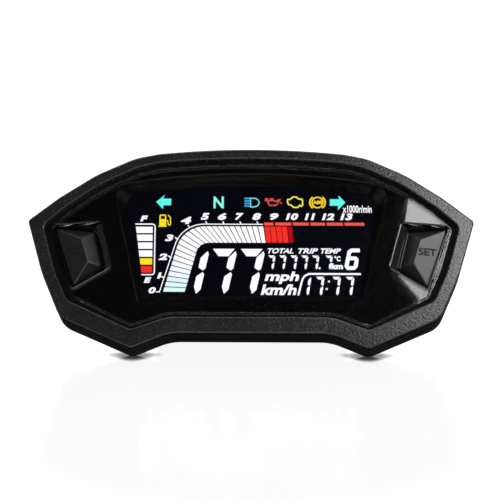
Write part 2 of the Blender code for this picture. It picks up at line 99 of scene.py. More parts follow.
CAP_RIDGE = [(76.3, 5.4, 1.7), (73.2, -5.2, 2.3)]
APERTURE = [(68.3, 13.4), (89.4, 11.8), (80.1, -17.3), (63.0, -7.0)]
STEM = (77.6, -1.6)
CASE_SCREWS = [(96.1, 11.8), (82.9, -26.6), (53.4, -40.6)]
INSERTS = [(-37.0, 8.0), (37.0, 8.0), (0.0, -18.0)]
ISOLATOR_BACK = 45.3
POD_TOP = 25.0
SOCKET, SOCKET_HALF, SOCKET_WALL = (0.0, 8.0), (13.4, 6.4), 1.6
SOCKET_FRONT, SOCKET_BACK = 30.0, 46.0
VENT = (-25.0, -15.0)
SCREW_SEAT = 17.5
INSERT_FRONT = 31.0
PAST = 1.0                          # how far a cutter reaches past what it cuts

# Radii, and sizes that belong to one piece
BOSS_RADIUS, SEAT_RADIUS, SCREW_HOLE_RADIUS, COUNTERBORE_RADIUS = 3.0, 2.4, 1.3, 2.45
INSERT_BOSS_RADIUS, VENT_HOLE_RADIUS, STEM_RADIUS = 6.4, 2.2, 3.0
INSERT_BOSS_FRONT, HOLES_FRONT = 29.5, 38.0
MOAT, MOAT_DEPTH = (9.9, 9.1), 0.5
BLANK_PLATE, BLANK_DEPTH = (12.0, -27.0, -21.5, 1.2, 24.0), 0.4     # as rectangle() takes it
POD_EDGE = [(0.12, 0.8), (0.45, 0.25), (1.0, 0.0)]      # how far it is set in, and depth before the back
SLOT_COUNT, SLOT_PITCH, SLOT_HALF, SLOT_DEPTHS = 9, 9.0, 1.3, (27.5, 38.5)
WASHER_GROOVE, WASHER_GROOVE_DEPTHS = (9.0, 7.5), (43.5, 44.1)
SOCKET_FLANGE, SOCKET_FLANGE_DEPTHS, PIN_SLOT, SOCKET_RIBS = 4.0, (36.0, 38.0), (10.6, 2.6), (-7.0, 7.0)
VENT_NOTCHES, VENT_NOTCH_REACH, VENT_NOTCH = 6, 6.3, 0.9

# Outlines round a key, as how far they stand off the cap and the radius of their corners
WELL_OUTER, WELL_INNER, THROAT, FLANGE = (2.0, 2.5), (1.1, 1.8), (0.5, 0.3), (0.7, 1.5)
CAP_EDGE = 0.45

# Cross-sections, as rows of outline, how far it is set in, and depth
BEZEL_EDGE = 0.95
BEZEL_SECTION = [
    (CASE, 0.09, SKIRT_BACK - 0.25), (CASE, 0.22, SKIRT_BACK - 0.06), (CASE, 0.45, SKIRT_BACK),
    (CASE, 1.9, SKIRT_BACK), (CASE, 1.9, LIP_BACK), (PLATE, 1.6, LIP_BACK), (PLATE, 1.6, LIP_FRONT + 0.06),
    (OPENING, 0.62, LIP_FRONT + 0.06), (OPENING, 0.5, 2.6), (OPENING, 0.22, 0.8), (OPENING, 0.08, 0.42),
    (OPENING, -0.08, 0.2), (OPENING, -0.3, 0.06), (OPENING, -0.6, 0.0),
]
GROOVE_FRONT, GROOVE_BACK = 2.78, LIP_FRONT + 0.03
HOUSING_FRONT = SKIRT_BACK + GAP
HOUSING_SECTION = [
    (CASE, 0.55, HOUSING_FRONT), (CASE, 0.25, HOUSING_FRONT + 0.08), (CASE, 0.12, HOUSING_FRONT + 0.3),
    (CASE, 0.47, 18.9), (CASE, 0.56, 19.6), (CASE, 0.78, 20.3), (CASE, 1.25, 20.95), (CASE, 2.3, 21.6),
    (CASE, 7.7, 23.75), (CASE, 8.5, SHOULDER_BACK),
]
CAVITY_SECTION = [
    (CASE, WALL + 0.1, SKIRT_BACK), (CASE, WALL + 0.4, WALL_BACK - 1.2), (CASE, 9.4, CAVITY_BACK),
]
LENS_RIM_BACK = LIP_BACK + GAP
LENS_SECTION = [
    (PLATE, 3.0, LENS_FRONT), (PLATE, 2.82, LENS_FRONT + 0.04), (PLATE, 2.66, LENS_FRONT + 0.16),
    (PLATE, 2.5, LENS_FRONT + 0.42), (PLATE, 2.44, LENS_FRONT + 0.46), (PLATE, 2.08, LENS_FRONT + 0.48),
    (PLATE, 1.96, LENS_FRONT + 0.54), (PLATE, 1.9, LENS_FRONT + 0.7), (PLATE, 1.9, LENS_RIM_BACK),
    (OPENING, -0.6, LENS_RIM_BACK), (OPENING, -0.6, LENS_BACK),
]
RECESS_SECTION = [
    (RECESS, -0.8, MASK_FRONT - 1.0), (RECESS, -0.8, MASK_FRONT), (RECESS, -0.42, MASK_FRONT + 0.06),
    (RECESS, -0.08, MASK_FRONT + 0.3), (RECESS, 0.42, MASK_FRONT + 0.75), (WINDOW, 0.0, WINDOW_DEPTH),
]

# Flares round a button's opening, as pairs of growth and depth behind the face
LENS_FLARE = [(0.9, -1.0), (0.78, 0.0), (0.2, 0.253), (0.05, 0.36), (0.0, 0.55), (0.0, 4.0)]
MASK_FLARE = [(0.5, -1.0), (0.5, 0.0), (0.2, 0.08), (-0.05, 0.35)]
THROAT_FRONT = 7.7

# Turned pieces, as pairs of radius and depth
SCREW_TURNING = [
    (0.4, 2.2), (1.0, 3.0), (1.0, 17.8), (1.95, 17.8), (2.1, 17.95), (2.1, 18.8), (2.0, 19.1), (1.75, 19.35),
    (1.3, 19.5),
]
CROSS_HALF, CROSS_FRONT, CROSS_TURN = (1.2, 0.24), 18.6, 20.0       # each one turned further, degrees
INSERT_TURNING = [
    (4.0, INSERT_FRONT + 0.2), (4.0, POD_BACK - 0.2), (3.8, POD_BACK), (2.4, POD_BACK), (2.1, POD_BACK - 0.3),
    (2.1, INSERT_FRONT), (3.8, INSERT_FRONT),
]
INSERT_BORE = [(4.3, INSERT_FRONT - 0.3), (4.3, POD_BACK - 0.4), (4.7, POD_BACK), (4.7, POD_BACK + 1.0)]
WASHER_FRONT = POD_BACK + GAP
WASHER_TURNING = [
    (2.8, WASHER_FRONT + 0.2), (3.0, WASHER_FRONT), (7.6, WASHER_FRONT), (8.0, WASHER_FRONT + 0.4),
    (8.0, ISOLATOR_BACK - 0.5), (7.85, ISOLATOR_BACK - 0.15), (7.5, ISOLATOR_BACK), (3.1, ISOLATOR_BACK),
    (2.8, ISOLATOR_BACK - 0.3),
]
VENT_TURNING = [
    (1.8, 38.5), (1.8, WASHER_FRONT), (5.8, WASHER_FRONT), (6.0, WASHER_FRONT + 0.2),
    (6.0, 43.9), (5.8, 44.3), (5.3, 44.65), (4.6, 44.8),
]

# The keys' words: half width and boldness of each, and where they lie on the right key
LEGENDS = {"MODE": (3.6, 0.0), "SET": (4.1, 0.035)}
LEGEND_PLACE, LEGEND_HALF_HEIGHT = (79.6, 0.2), 1.7
LEGEND_RAISED, LEGEND_SUNK = 0.03, 0.12


def place(x, height, depth):
    """A point of the upright dial, where each piece is drawn before STAND leans it back into the frame."""
    return Vector((x, depth, height)) * MM


# ---- outlines, as lists of (x, height)

def half_to_whole(shape):
    """Every corner of a symmetric outline as (x, height, radius), clockwise from the top centre."""
    crown, drop = shape["crown"], shape["drop"]
    reaches = [(step / 6.0) for step in range(1, 7)]
    right = [(reach * CROWN_REACH, crown - drop * reach * reach, 0.0) for reach in reaches]
    right += shape["corners"]
    left = [(-x, height, radius) for x, height, radius in reversed(right)]
    return [(0.0, crown, 0.0)] + right + left


def inset(corners, distance):
    """The corners moved inward by a distance, with their radii changed to suit."""
    moved = []
    count = len(corners)
    for index, (x, height, radius) in enumerate(corners):
        here = Vector((x, height))
        before = (here - Vector(corners[index - 1][:2])).normalized()
        after = (Vector(corners[(index + 1) % count][:2]) - here).normalized()
        inward = Vector((before.y + after.y, -before.x - after.x)) / (1.0 + before.dot(after))
        turn = before.x * after.y - before.y * after.x
        if radius:
            radius = max(radius - distance, 0.8) if turn < 0 else radius + distance
        moved.append((x + inward.x * distance, height + inward.y * distance, radius))
    return moved


def conic(start, corner, end, half_angle, steps):
    """Points along the arc that starts and ends on a corner's two sides."""
    weight = math.sin(half_angle)
    points = []
    for step in range(steps + 1):
        t = step / steps
        a, b, c = (1 - t) ** 2, 2 * t * (1 - t) * weight, t * t
        point = (start * a + corner * b + end * c) / (a + b + c)
        points.append((point.x, point.y))
    return points


def rounded(corners, fine=10):
    """The outline through the corners, with an arc at each corner that has a radius."""
    outline = []
    count = len(corners)
    for index, (x, height, radius) in enumerate(corners):
        here = Vector((x, height))
        if not radius:
            outline.append((x, height))
            continue
        before = Vector(corners[index - 1][:2]) - here
        after = Vector(corners[(index + 1) % count][:2]) - here
        half_angle = before.angle(after) / 2
        reach = min(radius / math.tan(half_angle), 0.47 * before.length, 0.47 * after.length)
        start, end = here + before.normalized() * reach, here + after.normalized() * reach
        outline += conic(start, here, end, half_angle, 6 if radius >= 20 else fine)
    return outline


def outline_of(shape, distance=0.0):
    """A symmetric shape's outline, moved inward by a distance."""
    return rounded(inset(half_to_whole(shape), distance))


def rings(section):
    """A loft's levels, from the rows of a cross-section."""
    return [(outline_of(shape, distance), depth) for shape, distance, depth in section]


def carried_on(first, second):
    """The outline found by going on past the second one, half as far again as from the first to it."""
    return [(x2 + (x2 - x1) / 2, h2 + (h2 - h1) / 2) for (x1, h1), (x2, h2) in zip(first, second)]


def button_outline(points, side, grow, radius):
    """An outline around a button, grown outward, mirrored to the left where side is -1."""
    corners = [(x, height, radius) for x, height in points]
    if side < 0:
        corners = [(-x, height, r) for x, height, r in reversed(corners)]
    return rounded(inset(corners, -grow), 6)


def rectangle(half_width, bottom, top, radius=0.0, centre=0.0):
    left, right = centre - half_width, centre + half_width
    corners = [(left, top), (right, top), (right, bottom), (left, bottom)]
    return rounded([(x, height, radius) for x, height in corners], 6)


def circle(x, height, radius, count=40):
    """A circle as an outline of count points."""
    turns = [2 * math.pi * step / count for step in range(count)]
    return [(x + radius * math.sin(turn), height + radius * math.cos(turn)) for turn in turns]


def both_sides(places):
    """Each place and its mirror image."""
    return [(side * x, height) for x, height in places for side in (-1, 1)]


# ---- solids

def finish_mesh(mesh, name):
    bmesh.ops.recalc_face_normals(mesh, faces=mesh.faces)
    data = bpy.data.meshes.new(name)
    mesh.to_mesh(data)
    mesh.free()
    thing = bpy.data.objects.new(name, data)
    bpy.context.scene.collection.objects.link(thing)
    return thing


def loft(name, levels, ring=False):
    """A solid through outlines of equal length at given depths: capped, or closed on itself as a ring."""
    mesh = bmesh.new()
    loops = [[mesh.verts.new(place(x, height, depth)) for x, height in outline] for outline, depth in levels]
    pairs = list(zip(loops, loops[1:] + loops[:1])) if ring else list(zip(loops, loops[1:]))
    for first, second in pairs:
        for index in range(len(first)):
            after = (index + 1) % len(first)
            mesh.faces.new((first[index], first[after], second[after], second[index]))
    if not ring:
        mesh.faces.new(loops[0])
        mesh.faces.new(loops[-1])
    return finish_mesh(mesh, name)


def prism(name, outline, front, back):
    """A straight solid from an outline."""
    return loft(name, [(outline, front), (outline, back)])


def rod(x, height, radius, front, back, count=40):
    """A straight round solid."""
    return prism("rod", circle(x, height, radius, count), front, back)


def band(name, outer, inner, front, back):
    """A straight solid between two outlines."""
    return loft(name, [(outer, front), (outer, back), (inner, back), (inner, front)], ring=True)


def applied(thing):
    """Turns an object's modifiers into its mesh."""
    bpy.context.view_layer.update()
    graph = bpy.context.evaluated_depsgraph_get()
    result = bpy.data.meshes.new_from_object(
        thing.evaluated_get(graph), preserve_all_data_layers=True, depsgraph=graph)
    thing.modifiers.clear()
    thing.data = result
    return thing


def combine(thing, tools, operation):
    for tool in tools:
        change = thing.modifiers.new("combine", "BOOLEAN")
        change.object = tool
        change.operation = operation
        applied(thing)
        bpy.data.objects.remove(tool, do_unlink=True)
    return thing


def join(thing, *tools):
    return combine(thing, tools, "UNION")


def cut(thing, *tools):
    return combine(thing, tools, "DIFFERENCE")


def turned(name, x, height, profile, count=40):
    """A round piece about a line straight back, from its (radius, depth) pairs, front to back."""
    return loft(name, [(circle(x, height, radius, count), depth) for radius, depth in profile])


def soften(thing, width, segments=3, angle=30.0):
    """Rounds an object's edges where its faces turn by more than an angle."""
    change = thing.modifiers.new("soften", "BEVEL")
    change.width = width * MM
    change.segments = segments
    change.limit_method = "ANGLE"
    change.angle_limit = math.radians(angle)
    return applied(thing)


def smooth(thing, angle=32.0):
    thing.data.shade_smooth()
    thing.data.set_sharp_from_angle(angle=math.radians(angle))
    change = thing.modifiers.new("normals", "WEIGHTED_NORMAL")
    change.keep_sharp = True
    return applied(thing)


# ---- materials

class Nodes:
    """A material's or the world's node tree, with short calls for the nodes that repeat."""

    def __init__(self, name, owners=bpy.data.materials, shader="Principled BSDF", coordinates="Object"):
        self.owner = owners.new(name)
        self.owner.use_nodes = True
        self.tree = self.owner.node_tree
        self.shader = self.tree.nodes[shader]
        self.place = self.add("ShaderNodeTexCoord").outputs[coordinates]

    def feed(self, node, inputs):
        """Gives a node's inputs their values, or the outputs that they take them from."""
        for key, value in inputs.items():
            if hasattr(value, "links"):
                self.tree.links.new(value, node.inputs[key])
            else:
                node.inputs[key].default_value = value
        return node

    def add(self, kind, inputs=None, **settings):
        node = self.tree.nodes.new(kind)
        for key, value in settings.items():
            setattr(node, key, value)
        return self.feed(node, inputs or {})

    def set(self, **values):
        """Gives the shader's own inputs their values or outputs."""
        self.feed(self.shader, {key.replace("_", " "): value for key, value in values.items()})
        return self

    def maths(self, operation, first, second):
        return self.add("ShaderNodeMath", {0: first, 1: second}, operation=operation).outputs[0]

    def noise(self, size_mm, detail=2.0, rough=0.5, stretch=None):
        """Noise whose lumps are about the given size across."""
        where = self.place
        if stretch:
            where = self.add("ShaderNodeMapping", {"Scale": stretch, "Vector": where}).outputs["Vector"]
        return self.add("ShaderNodeTexNoise", {
            "Scale": 1.0 / (size_mm * MM), "Detail": detail, "Roughness": rough, "Vector": where,
        }).outputs["Fac"]

    def span(self, source, low, high, start=0.3, end=0.7, **settings):
        """A value that goes from low to high while its source goes from start to end."""
        return self.add("ShaderNodeMapRange", {
            "Value": source, "From Min": start, "From Max": end, "To Min": low, "To Max": high,
        }, **settings).outputs["Result"]

    def shades(self, source, first, second, start=0.3, end=0.7):
        """A colour that goes from first to second while its source goes from start to end."""
        ramp = self.add("ShaderNodeValToRGB", {"Fac": source})
        for element, position, colour in zip(ramp.color_ramp.elements, (start, end), (first, second)):
            element.position = position
            element.color = (*colour, 1.0)
        return ramp.outputs["Color"]

    def mix(self, share, first, second):
        """A blend of two colours, each a tuple or an output."""
        first, second = (part if hasattr(part, "links") else (*part, 1.0) for part in (first, second))
        return self.add("ShaderNodeMix", {0: share, 6: first, 7: second}, data_type="RGBA").outputs[2]

    def bump(self, source, height_mm, strength=1.0, after=None):
        """Raises the surface as its source does, on top of what another bump does."""
        inputs = {"Height": source, "Strength": strength, "Distance": height_mm * MM}
        if after:
            inputs["Normal"] = after
        normal = self.add("ShaderNodeBump", inputs).outputs["Normal"]
        self.set(Normal=normal)
        return normal

    def edges(self, low=0.52, high=0.62):
        """How much of an outer edge a place is, from 0 to 1."""
        return self.span(self.add("ShaderNodeNewGeometry").outputs["Pointiness"], 0.0, 1.0, low, high)

    def roughen(self, broad, fine):
        """Sets the roughness to a broad part and a fine part together."""
        self.set(Roughness=self.maths("ADD", broad, fine))


def shade(colour, factor):
    """The colour made paler or darker by a factor."""
    return tuple(min(part * factor, 1.0) for part in colour)


def moulded(name, colour, roughness, grain_mm=0.45, grain_height=0.02, edge_wear_and_highlight=0.0, specular=0.5, sparkle=0.03):
    """Moulded plastic: an eroded grain, slow changes in gloss and shade, and edges paler from wear and a painted
    highlight.
    """
    nodes = Nodes(name).set(Specular_IOR_Level=specular)
    fine, slow = nodes.noise(grain_mm, 3.0, 0.6), nodes.noise(22.0, 4.0, 0.6)
    base = nodes.shades(slow, shade(colour, 0.86), shade(colour, 1.16))
    # Paler outer edges: part handling wear, part painted highlight.
    if edge_wear_and_highlight:
        rubbed_and_highlit = nodes.maths("MULTIPLY", nodes.edges(), nodes.span(nodes.noise(3.0, 4.0), 0.2, edge_wear_and_highlight))
        base = nodes.mix(rubbed_and_highlit, base, shade(colour, 2.6))
    nodes.set(Base_Color=base)
    nodes.roughen(nodes.span(slow, roughness - 0.03, roughness + 0.03),
                  nodes.span(fine, -sparkle, sparkle, 0.35, 0.65))
    nodes.bump(fine, grain_height, 0.8, nodes.bump(nodes.noise(6.0, 2.0), 0.02, 0.25))
    return nodes.owner


def gloss(name, colour, roughness):
    """Polished plastic: dust specks and faint moulding flow in the gloss."""
    nodes = Nodes(name)
    slow, dust = nodes.noise(30.0, 3.0), nodes.noise(0.5, 2.0)
    nodes.set(Base_Color=nodes.shades(slow, shade(colour, 0.9), shade(colour, 1.12)))
    nodes.roughen(nodes.span(slow, roughness, roughness + 0.03), nodes.span(dust, 0.0, 0.12, 0.72, 0.8))
    nodes.bump(nodes.noise(14.0, 2.0), 0.006, 0.3)
    return nodes.owner


def clear(name, tint, roughness, ior=1.49):
    """Clear plastic or glass, with a little haze in places."""
    nodes = Nodes(name).set(Transmission_Weight=1.0, IOR=ior)
    slow, dust = nodes.noise(35.0, 3.0), nodes.noise(0.6, 2.0)
    nodes.set(Base_Color=nodes.shades(slow, shade(tint, 0.985), tint))
    nodes.roughen(nodes.span(slow, roughness, roughness + 0.015), nodes.span(dust, 0.0, 0.1, 0.74, 0.82))
    nodes.bump(nodes.noise(18.0, 1.0), 0.004, 0.2)
    return nodes.owner


def rubber(name, colour, roughness=0.75):
    """Black rubber with a paler bloom in places."""
    nodes = Nodes(name).set(Specular_IOR_Level=0.35)
    bloom, fine = nodes.noise(7.0, 5.0, 0.65), nodes.noise(0.35, 3.0)
    nodes.set(Base_Color=nodes.shades(bloom, shade(colour, 0.8), shade(colour, 1.5)))
    nodes.set(Roughness=nodes.span(bloom, roughness - 0.08, roughness + 0.1))
    nodes.bump(fine, 0.015, 0.7)
    return nodes.owner


def metal(name, colour, roughness=0.3, lay_mm=0.25):
    """Turned or plated metal: fine tool marks, stains and a duller film in places."""
    nodes = Nodes(name).set(Metallic=1.0)
    film, marks = nodes.noise(2.5, 5.0, 0.65), nodes.noise(lay_mm, 2.0, 0.5, (1.0, 0.25, 4.0))
    nodes.set(Base_Color=nodes.shades(film, shade(colour, 0.7), shade(colour, 1.1)))
    nodes.set(Roughness=nodes.span(film, roughness + 0.16, roughness - 0.05))
    nodes.bump(marks, 0.006, 0.6)
    return nodes.owner


def circuit(name, colour):
    """Green solder mask over copper tracks."""
    nodes = Nodes(name).set(Specular_IOR_Level=0.55, Roughness=0.28)
    tracks = nodes.add("ShaderNodeTexVoronoi", {"Scale": 1.0 / (4.5 * MM), "Vector": nodes.place},
                       feature="DISTANCE_TO_EDGE", distance="MANHATTAN").outputs["Distance"]
    paler = nodes.shades(tracks, shade(colour, 2.0), colour, 0.06, 0.09)
    stained = nodes.mix(nodes.span(nodes.noise(9.0, 4.0), 0.0, 0.25), paler, shade(colour, 0.6))
    nodes.set(Base_Color=stained)
    nodes.bump(tracks, 0.03, 0.3)
    return nodes.owner


def lit(name, colour, strength):
    """A lit segment: even colour, slightly uneven brightness from the lamps behind it."""
    nodes = Nodes(name).set(Base_Color=(0.0, 0.0, 0.0, 1.0), Roughness=0.5, Specular_IOR_Level=0.1)
    glow = nodes.shades(nodes.noise(26.0, 2.0), shade(colour, 0.94), colour)
    return nodes.set(Emission_Color=glow, Emission_Strength=strength).owner


def polarizer(name, colour):
    """Near-black film that lets a little blue backlight through."""
    nodes = Nodes(name).set(Roughness=0.35, Specular_IOR_Level=0.05, Emission_Strength=1.0)
    slow = nodes.noise(40.0, 3.0)
    nodes.set(Base_Color=nodes.shades(slow, shade(colour, 0.8), colour))
    nodes.set(Emission_Color=nodes.shades(slow, (0.0003, 0.0005, 0.0018), (0.0009, 0.001, 0.004)))
    nodes.bump(nodes.noise(0.4, 2.0), 0.003, 0.3)
    return nodes.owner


LOOKS = {       # each slot's kind of material and what that kind is given
    "bezel_plastic": (moulded, (0.020, 0.020, 0.0205), 0.2, 1.0, 0.24, 0.3, 0.9, 0.1),
    "housing_plastic": (moulded, (0.034, 0.034, 0.0345), 0.42, 0.5, 0.022, 0.3),
    "button_plastic": (moulded, (0.010, 0.010, 0.0103), 0.33, 0.5, 0.03, 0.3, 1.0),
    "lens_clear": (clear, (0.97, 0.97, 0.975), 0.012),
    "mask_plastic": (gloss, (0.005, 0.005, 0.0053), 0.05),
    "seal_rubber": (rubber, (0.022, 0.022, 0.022)),
    "isolator_rubber": (rubber, (0.02, 0.02, 0.02)),
    "lcd_glass": (clear, (0.93, 0.95, 0.95), 0.0, 1.52),
    "polarizer_film": (polarizer, (0.0015, 0.0015, 0.003)),
    "diffuser_film": (moulded, (0.8, 0.8, 0.8), 0.6, 0.2, 0.01),
    "guide_clear": (clear, (0.95, 0.97, 0.97), 0.03),
    "white_plastic": (moulded, (0.78, 0.78, 0.76), 0.5, 0.5, 0.01),
    "frame_plastic": (moulded, (0.03, 0.03, 0.032), 0.55, 0.5, 0.02),
    "circuit_board": (circuit, (0.012, 0.09, 0.035)),
    "chip_black": (moulded, (0.022, 0.022, 0.024), 0.5, 0.15, 0.01),
    "bright_metal": (metal, (0.6, 0.6, 0.61), 0.25),
    "screw_steel": (metal, (0.24, 0.24, 0.25), 0.35),
    "contact_brass": (metal, (0.72, 0.52, 0.24), 0.28),
    "connector_plastic": (moulded, (0.03, 0.03, 0.031), 0.48, 0.6, 0.02, 0.3),
    "key_legend": (moulded, (0.012, 0.012, 0.012), 0.6, 0.2, 0.005, 0.0, 0.25),
    # painted shade: the groove floor is made near black and matt where the groove lies in shade
    "groove_black": (moulded, (0.005, 0.005, 0.005), 0.85, 0.3, 0.01, 0.0, 0.08),
}
MATERIALS = {name: kind(name, *values) for name, (kind, *values) in LOOKS.items()}


def finished(thing, body, slot, replaced=(), material=None):
    """Leans a piece into the frame, gives it its slot's material or another, puts it on its body and hides the CAD
    nodes it stands for.
    """
    thing.data.transform(STAND)
    thing.data.materials.clear()
    thing.data.materials.append(MATERIALS[material or slot])
    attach(thing, body)
    if replaced:
        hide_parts(*replaced)
    return thing


# ---- case

def rounded_edge(shape, radius, steps=6):
    """Section rows that round an outer edge, from the front face to the side."""
    turns = [math.pi / 2 * step / steps for step in range(steps + 1)]
    return [(shape, radius * (1 - math.sin(turn)), radius * (1 - math.cos(turn))) for turn in turns]


def make_bezel():
    """The bezel's shell, and the floor of the groove round the lens, near black and matt as painted shade."""
    outer, inner = outline_of(OPENING, 0.58), outline_of(PLATE, 1.66)
    groove = band("bezel_groove", outer, inner, GROOVE_FRONT, GROOVE_BACK)
    finished(groove, "case", "bezel_plastic", ["front_bezel"], "groove_black")
    shell = loft("bezel_shell", rings(rounded_edge(CASE, BEZEL_EDGE) + BEZEL_SECTION), ring=True)
    finished(smooth(shell, 40.0), "case", "bezel_plastic", ["front_bezel"])


def lowest_point():
    """How far above the dial's middle the lower back edges reach, mm, below zero."""
    tip = min(height for _, height in outline_of(CASE, 0.5))
    return tip * math.cos(LEAN) - WALL_BACK * math.sin(LEAN)


def pod_outline(grow, shrink, keep_bottom=False):
    """The back pod's outline; its bottom lies on the floor with the lowest points."""
    bottom = (lowest_point() + POD_BACK * math.sin(LEAN)) / math.cos(LEAN)
    corners = [(-49.0, POD_TOP, 9.0), (49.0, POD_TOP, 9.0), (43.0, bottom, 6.0), (-43.0, bottom, 6.0)]
    corners = inset(corners, shrink - grow)
    if keep_bottom:
        corners = corners[:2] + [(x, bottom, radius) for x, _, radius in corners[2:]]
    return rounded(corners, 8)


def cut_flat(thing):
    """Cuts the resting edges flat, just clear of the floor."""
    floor = STAND.inverted() @ Vector((0.0, 0.0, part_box("rear_housing")[0].z))
    mesh = bmesh.new()
    mesh.from_mesh(thing.data)
    bmesh.ops.bisect_plane(
        mesh, geom=mesh.verts[:] + mesh.edges[:] + mesh.faces[:], dist=1e-7,
        plane_co=floor, plane_no=(0.0, REAR.z, UP.z), clear_inner=True)
    bmesh.ops.holes_fill(mesh, edges=[edge for edge in mesh.edges if edge.is_boundary], sides=0)
    bmesh.ops.recalc_face_normals(mesh, faces=mesh.faces)
    mesh.to_mesh(thing.data)
    mesh.free()
    return thing


def make_housing():
    """The rear shell with its pod, screw bosses, insert bosses, openings and cooling slots."""
    housing = loft("housing_shell", rings(HOUSING_SECTION))
    join(housing, prism("pod", pod_outline(1.0, 0.0), CAVITY_BACK - 1.0, SHOULDER_BACK + 0.2))
    join(housing, loft("pod", [
        (pod_outline(1.0, 0.0), SHOULDER_BACK - 0.5), (pod_outline(0.0, 0.0), POD_BACK - 1.4),
    ] + [(pod_outline(0.0, shrink, True), POD_BACK - depth) for shrink, depth in POD_EDGE]))
    cut(housing, loft("cavity", rings(CAVITY_SECTION)))
    cut(housing, loft("pod_cavity", [
        (pod_outline(1.0, WALL), CAVITY_BACK - 2.0), (pod_outline(0.0, WALL), POD_BACK - WALL),
    ]))
    for x, height in both_sides(CASE_SCREWS):
        join(housing, rod(x, height, BOSS_RADIUS, LEDGE_BACK - 0.8, WALL_BACK + 0.35))
        cut(housing, rod(x, height, SEAT_RADIUS, SKIRT_BACK, LEDGE_BACK + GAP))
        cut(housing, rod(x, height, SCREW_HOLE_RADIUS, LEDGE_BACK, SCREW_SEAT + 0.5))
        cut(housing, rod(x, height, COUNTERBORE_RADIUS, SCREW_SEAT, SHOULDER_BACK + PAST))
    for x, height in INSERTS:
        join(housing, rod(x, height, INSERT_BOSS_RADIUS, INSERT_BOSS_FRONT, POD_BACK - 1.0))
        cut(housing, turned("insert_hole", x, height, INSERT_BORE))
        outer, inner = (circle(x, height, radius) for radius in MOAT)
        cut(housing, band("moat", outer, inner, POD_BACK - MOAT_DEPTH, POD_BACK + PAST))
    x, height = SOCKET
    wide, tall = SOCKET_HALF[0] + SOCKET_WALL + GAP, SOCKET_HALF[1] + SOCKET_WALL + GAP
    opening = rectangle(wide, height - tall, height + tall, 2.0, x)
    cut(housing, prism("socket_hole", opening, HOLES_FRONT, POD_BACK + PAST))
    cut(housing, rod(*VENT, VENT_HOLE_RADIUS, HOLES_FRONT, POD_BACK + PAST))
    cut(housing, prism("plate", rectangle(*BLANK_PLATE), POD_BACK - BLANK_DEPTH, POD_BACK + PAST))
    for step in range(SLOT_COUNT):
        middle = (step - SLOT_COUNT // 2) * SLOT_PITCH
        slot = rectangle(SLOT_HALF, POD_TOP - 0.7, POD_TOP + 3.0, 0.6, middle)
        cut(housing, prism("slot", slot, *SLOT_DEPTHS))
    cut_flat(housing)
    finished(smooth(housing, 28.0), "case", "housing_plastic", ["rear_housing"])


def flare_levels(flare, side, face):
    """A loft's levels round a button's opening, from a flare's pairs and the depth of its face."""
    return [(button_outline(APERTURE, side, grow, 1.0), face + depth) for grow, depth in flare]


def make_lens():
    """The clear panel with its stepped rim and an opening for each button."""
    lens = loft("lens_panel", rings(LENS_SECTION))
    for side in (-1, 1):
        cut(lens, loft("aperture", flare_levels(LENS_FLARE, side, LENS_FRONT)))
    finished(smooth(lens, 20.0), "case", "lens_clear", ["lens"])


def make_mask():
    """The gloss black panel, its sloped recess round the display and a pocket for each button."""
    mask = prism("mask_panel", outline_of(OPENING, 0.7), MASK_FRONT, MASK_BACK)
    inside = MASK_FRONT + 0.7
    join(mask, loft("funnel", [(outline_of(RECESS, -1.3), inside), (outline_of(WINDOW, -3.0), WINDOW_DEPTH)]))
    for side in (-1, 1):
        join(mask, prism("well", button_outline(CAP, side, *WELL_OUTER), inside, WELL_BACK))
    recess, window = outline_of(RECESS), outline_of(WINDOW)
    step = (WINDOW_DEPTH - MASK_FRONT) / 2
    cut(mask, loft("recess", rings(RECESS_SECTION) + [(carried_on(recess, window), WINDOW_DEPTH + step)]))
    for side in (-1, 1):
        throat = button_outline(CAP, side, *THROAT)
        levels = flare_levels(MASK_FLARE, side, MASK_FRONT)
        cut(mask, loft("pocket", levels + [(throat, THROAT_FRONT), (throat, CAP_BACK + TRAVEL + 0.5)]))
        cut(mask, prism("well", button_outline(CAP, side, *WELL_INNER), CAP_BACK - GAP, WELL_BACK + PAST))
    finished(smooth(mask, 24.0), "case", "mask_plastic", ["dial_mask"])


# ---- buttons

def make_button(name, side, body, node, legend):
    """A faceted cap with its flange and stem, and the word on it."""
    mesh = bmesh.new()
    rim = [(side * x, height, depth) for (x, height), depth in zip(CAP, CAP_RIM_DEPTH)]
    ridge = [(side * x, height, depth) for x, height, depth in CAP_RIDGE]
    back = [(side * x, height, CAP_BACK + 0.2) for x, height in CAP]
    rim, ridge, back = ([mesh.verts.new(place(*point)) for point in loop] for loop in (rim, ridge, back))
    top_inner, top_outer, bottom, inner_bottom = rim
    upper, lower = ridge
    mesh.faces.new((upper, top_inner, top_outer))
    mesh.faces.new((upper, top_outer, bottom, lower))
    mesh.faces.new((lower, bottom, inner_bottom))
    mesh.faces.new((upper, lower, inner_bottom, top_inner))
    for index in range(4):
        after = (index + 1) % 4
        mesh.faces.new((rim[index], rim[after], back[after], back[index]))
    mesh.faces.new(back)
    button = soften(finish_mesh(mesh, name), CAP_EDGE, 4, 12.0)
    join(button, prism("flange", button_outline(CAP, side, *FLANGE), CAP_BACK, FLANGE_BACK))
    join(button, rod(side * STEM[0], STEM[1], STEM_RADIUS, FLANGE_BACK - 0.5, STEM_BACK))
    finished(smooth(button, 45.0), body, "button_plastic", [node])
    make_legend(f"{name}_legend", legend, side, body)


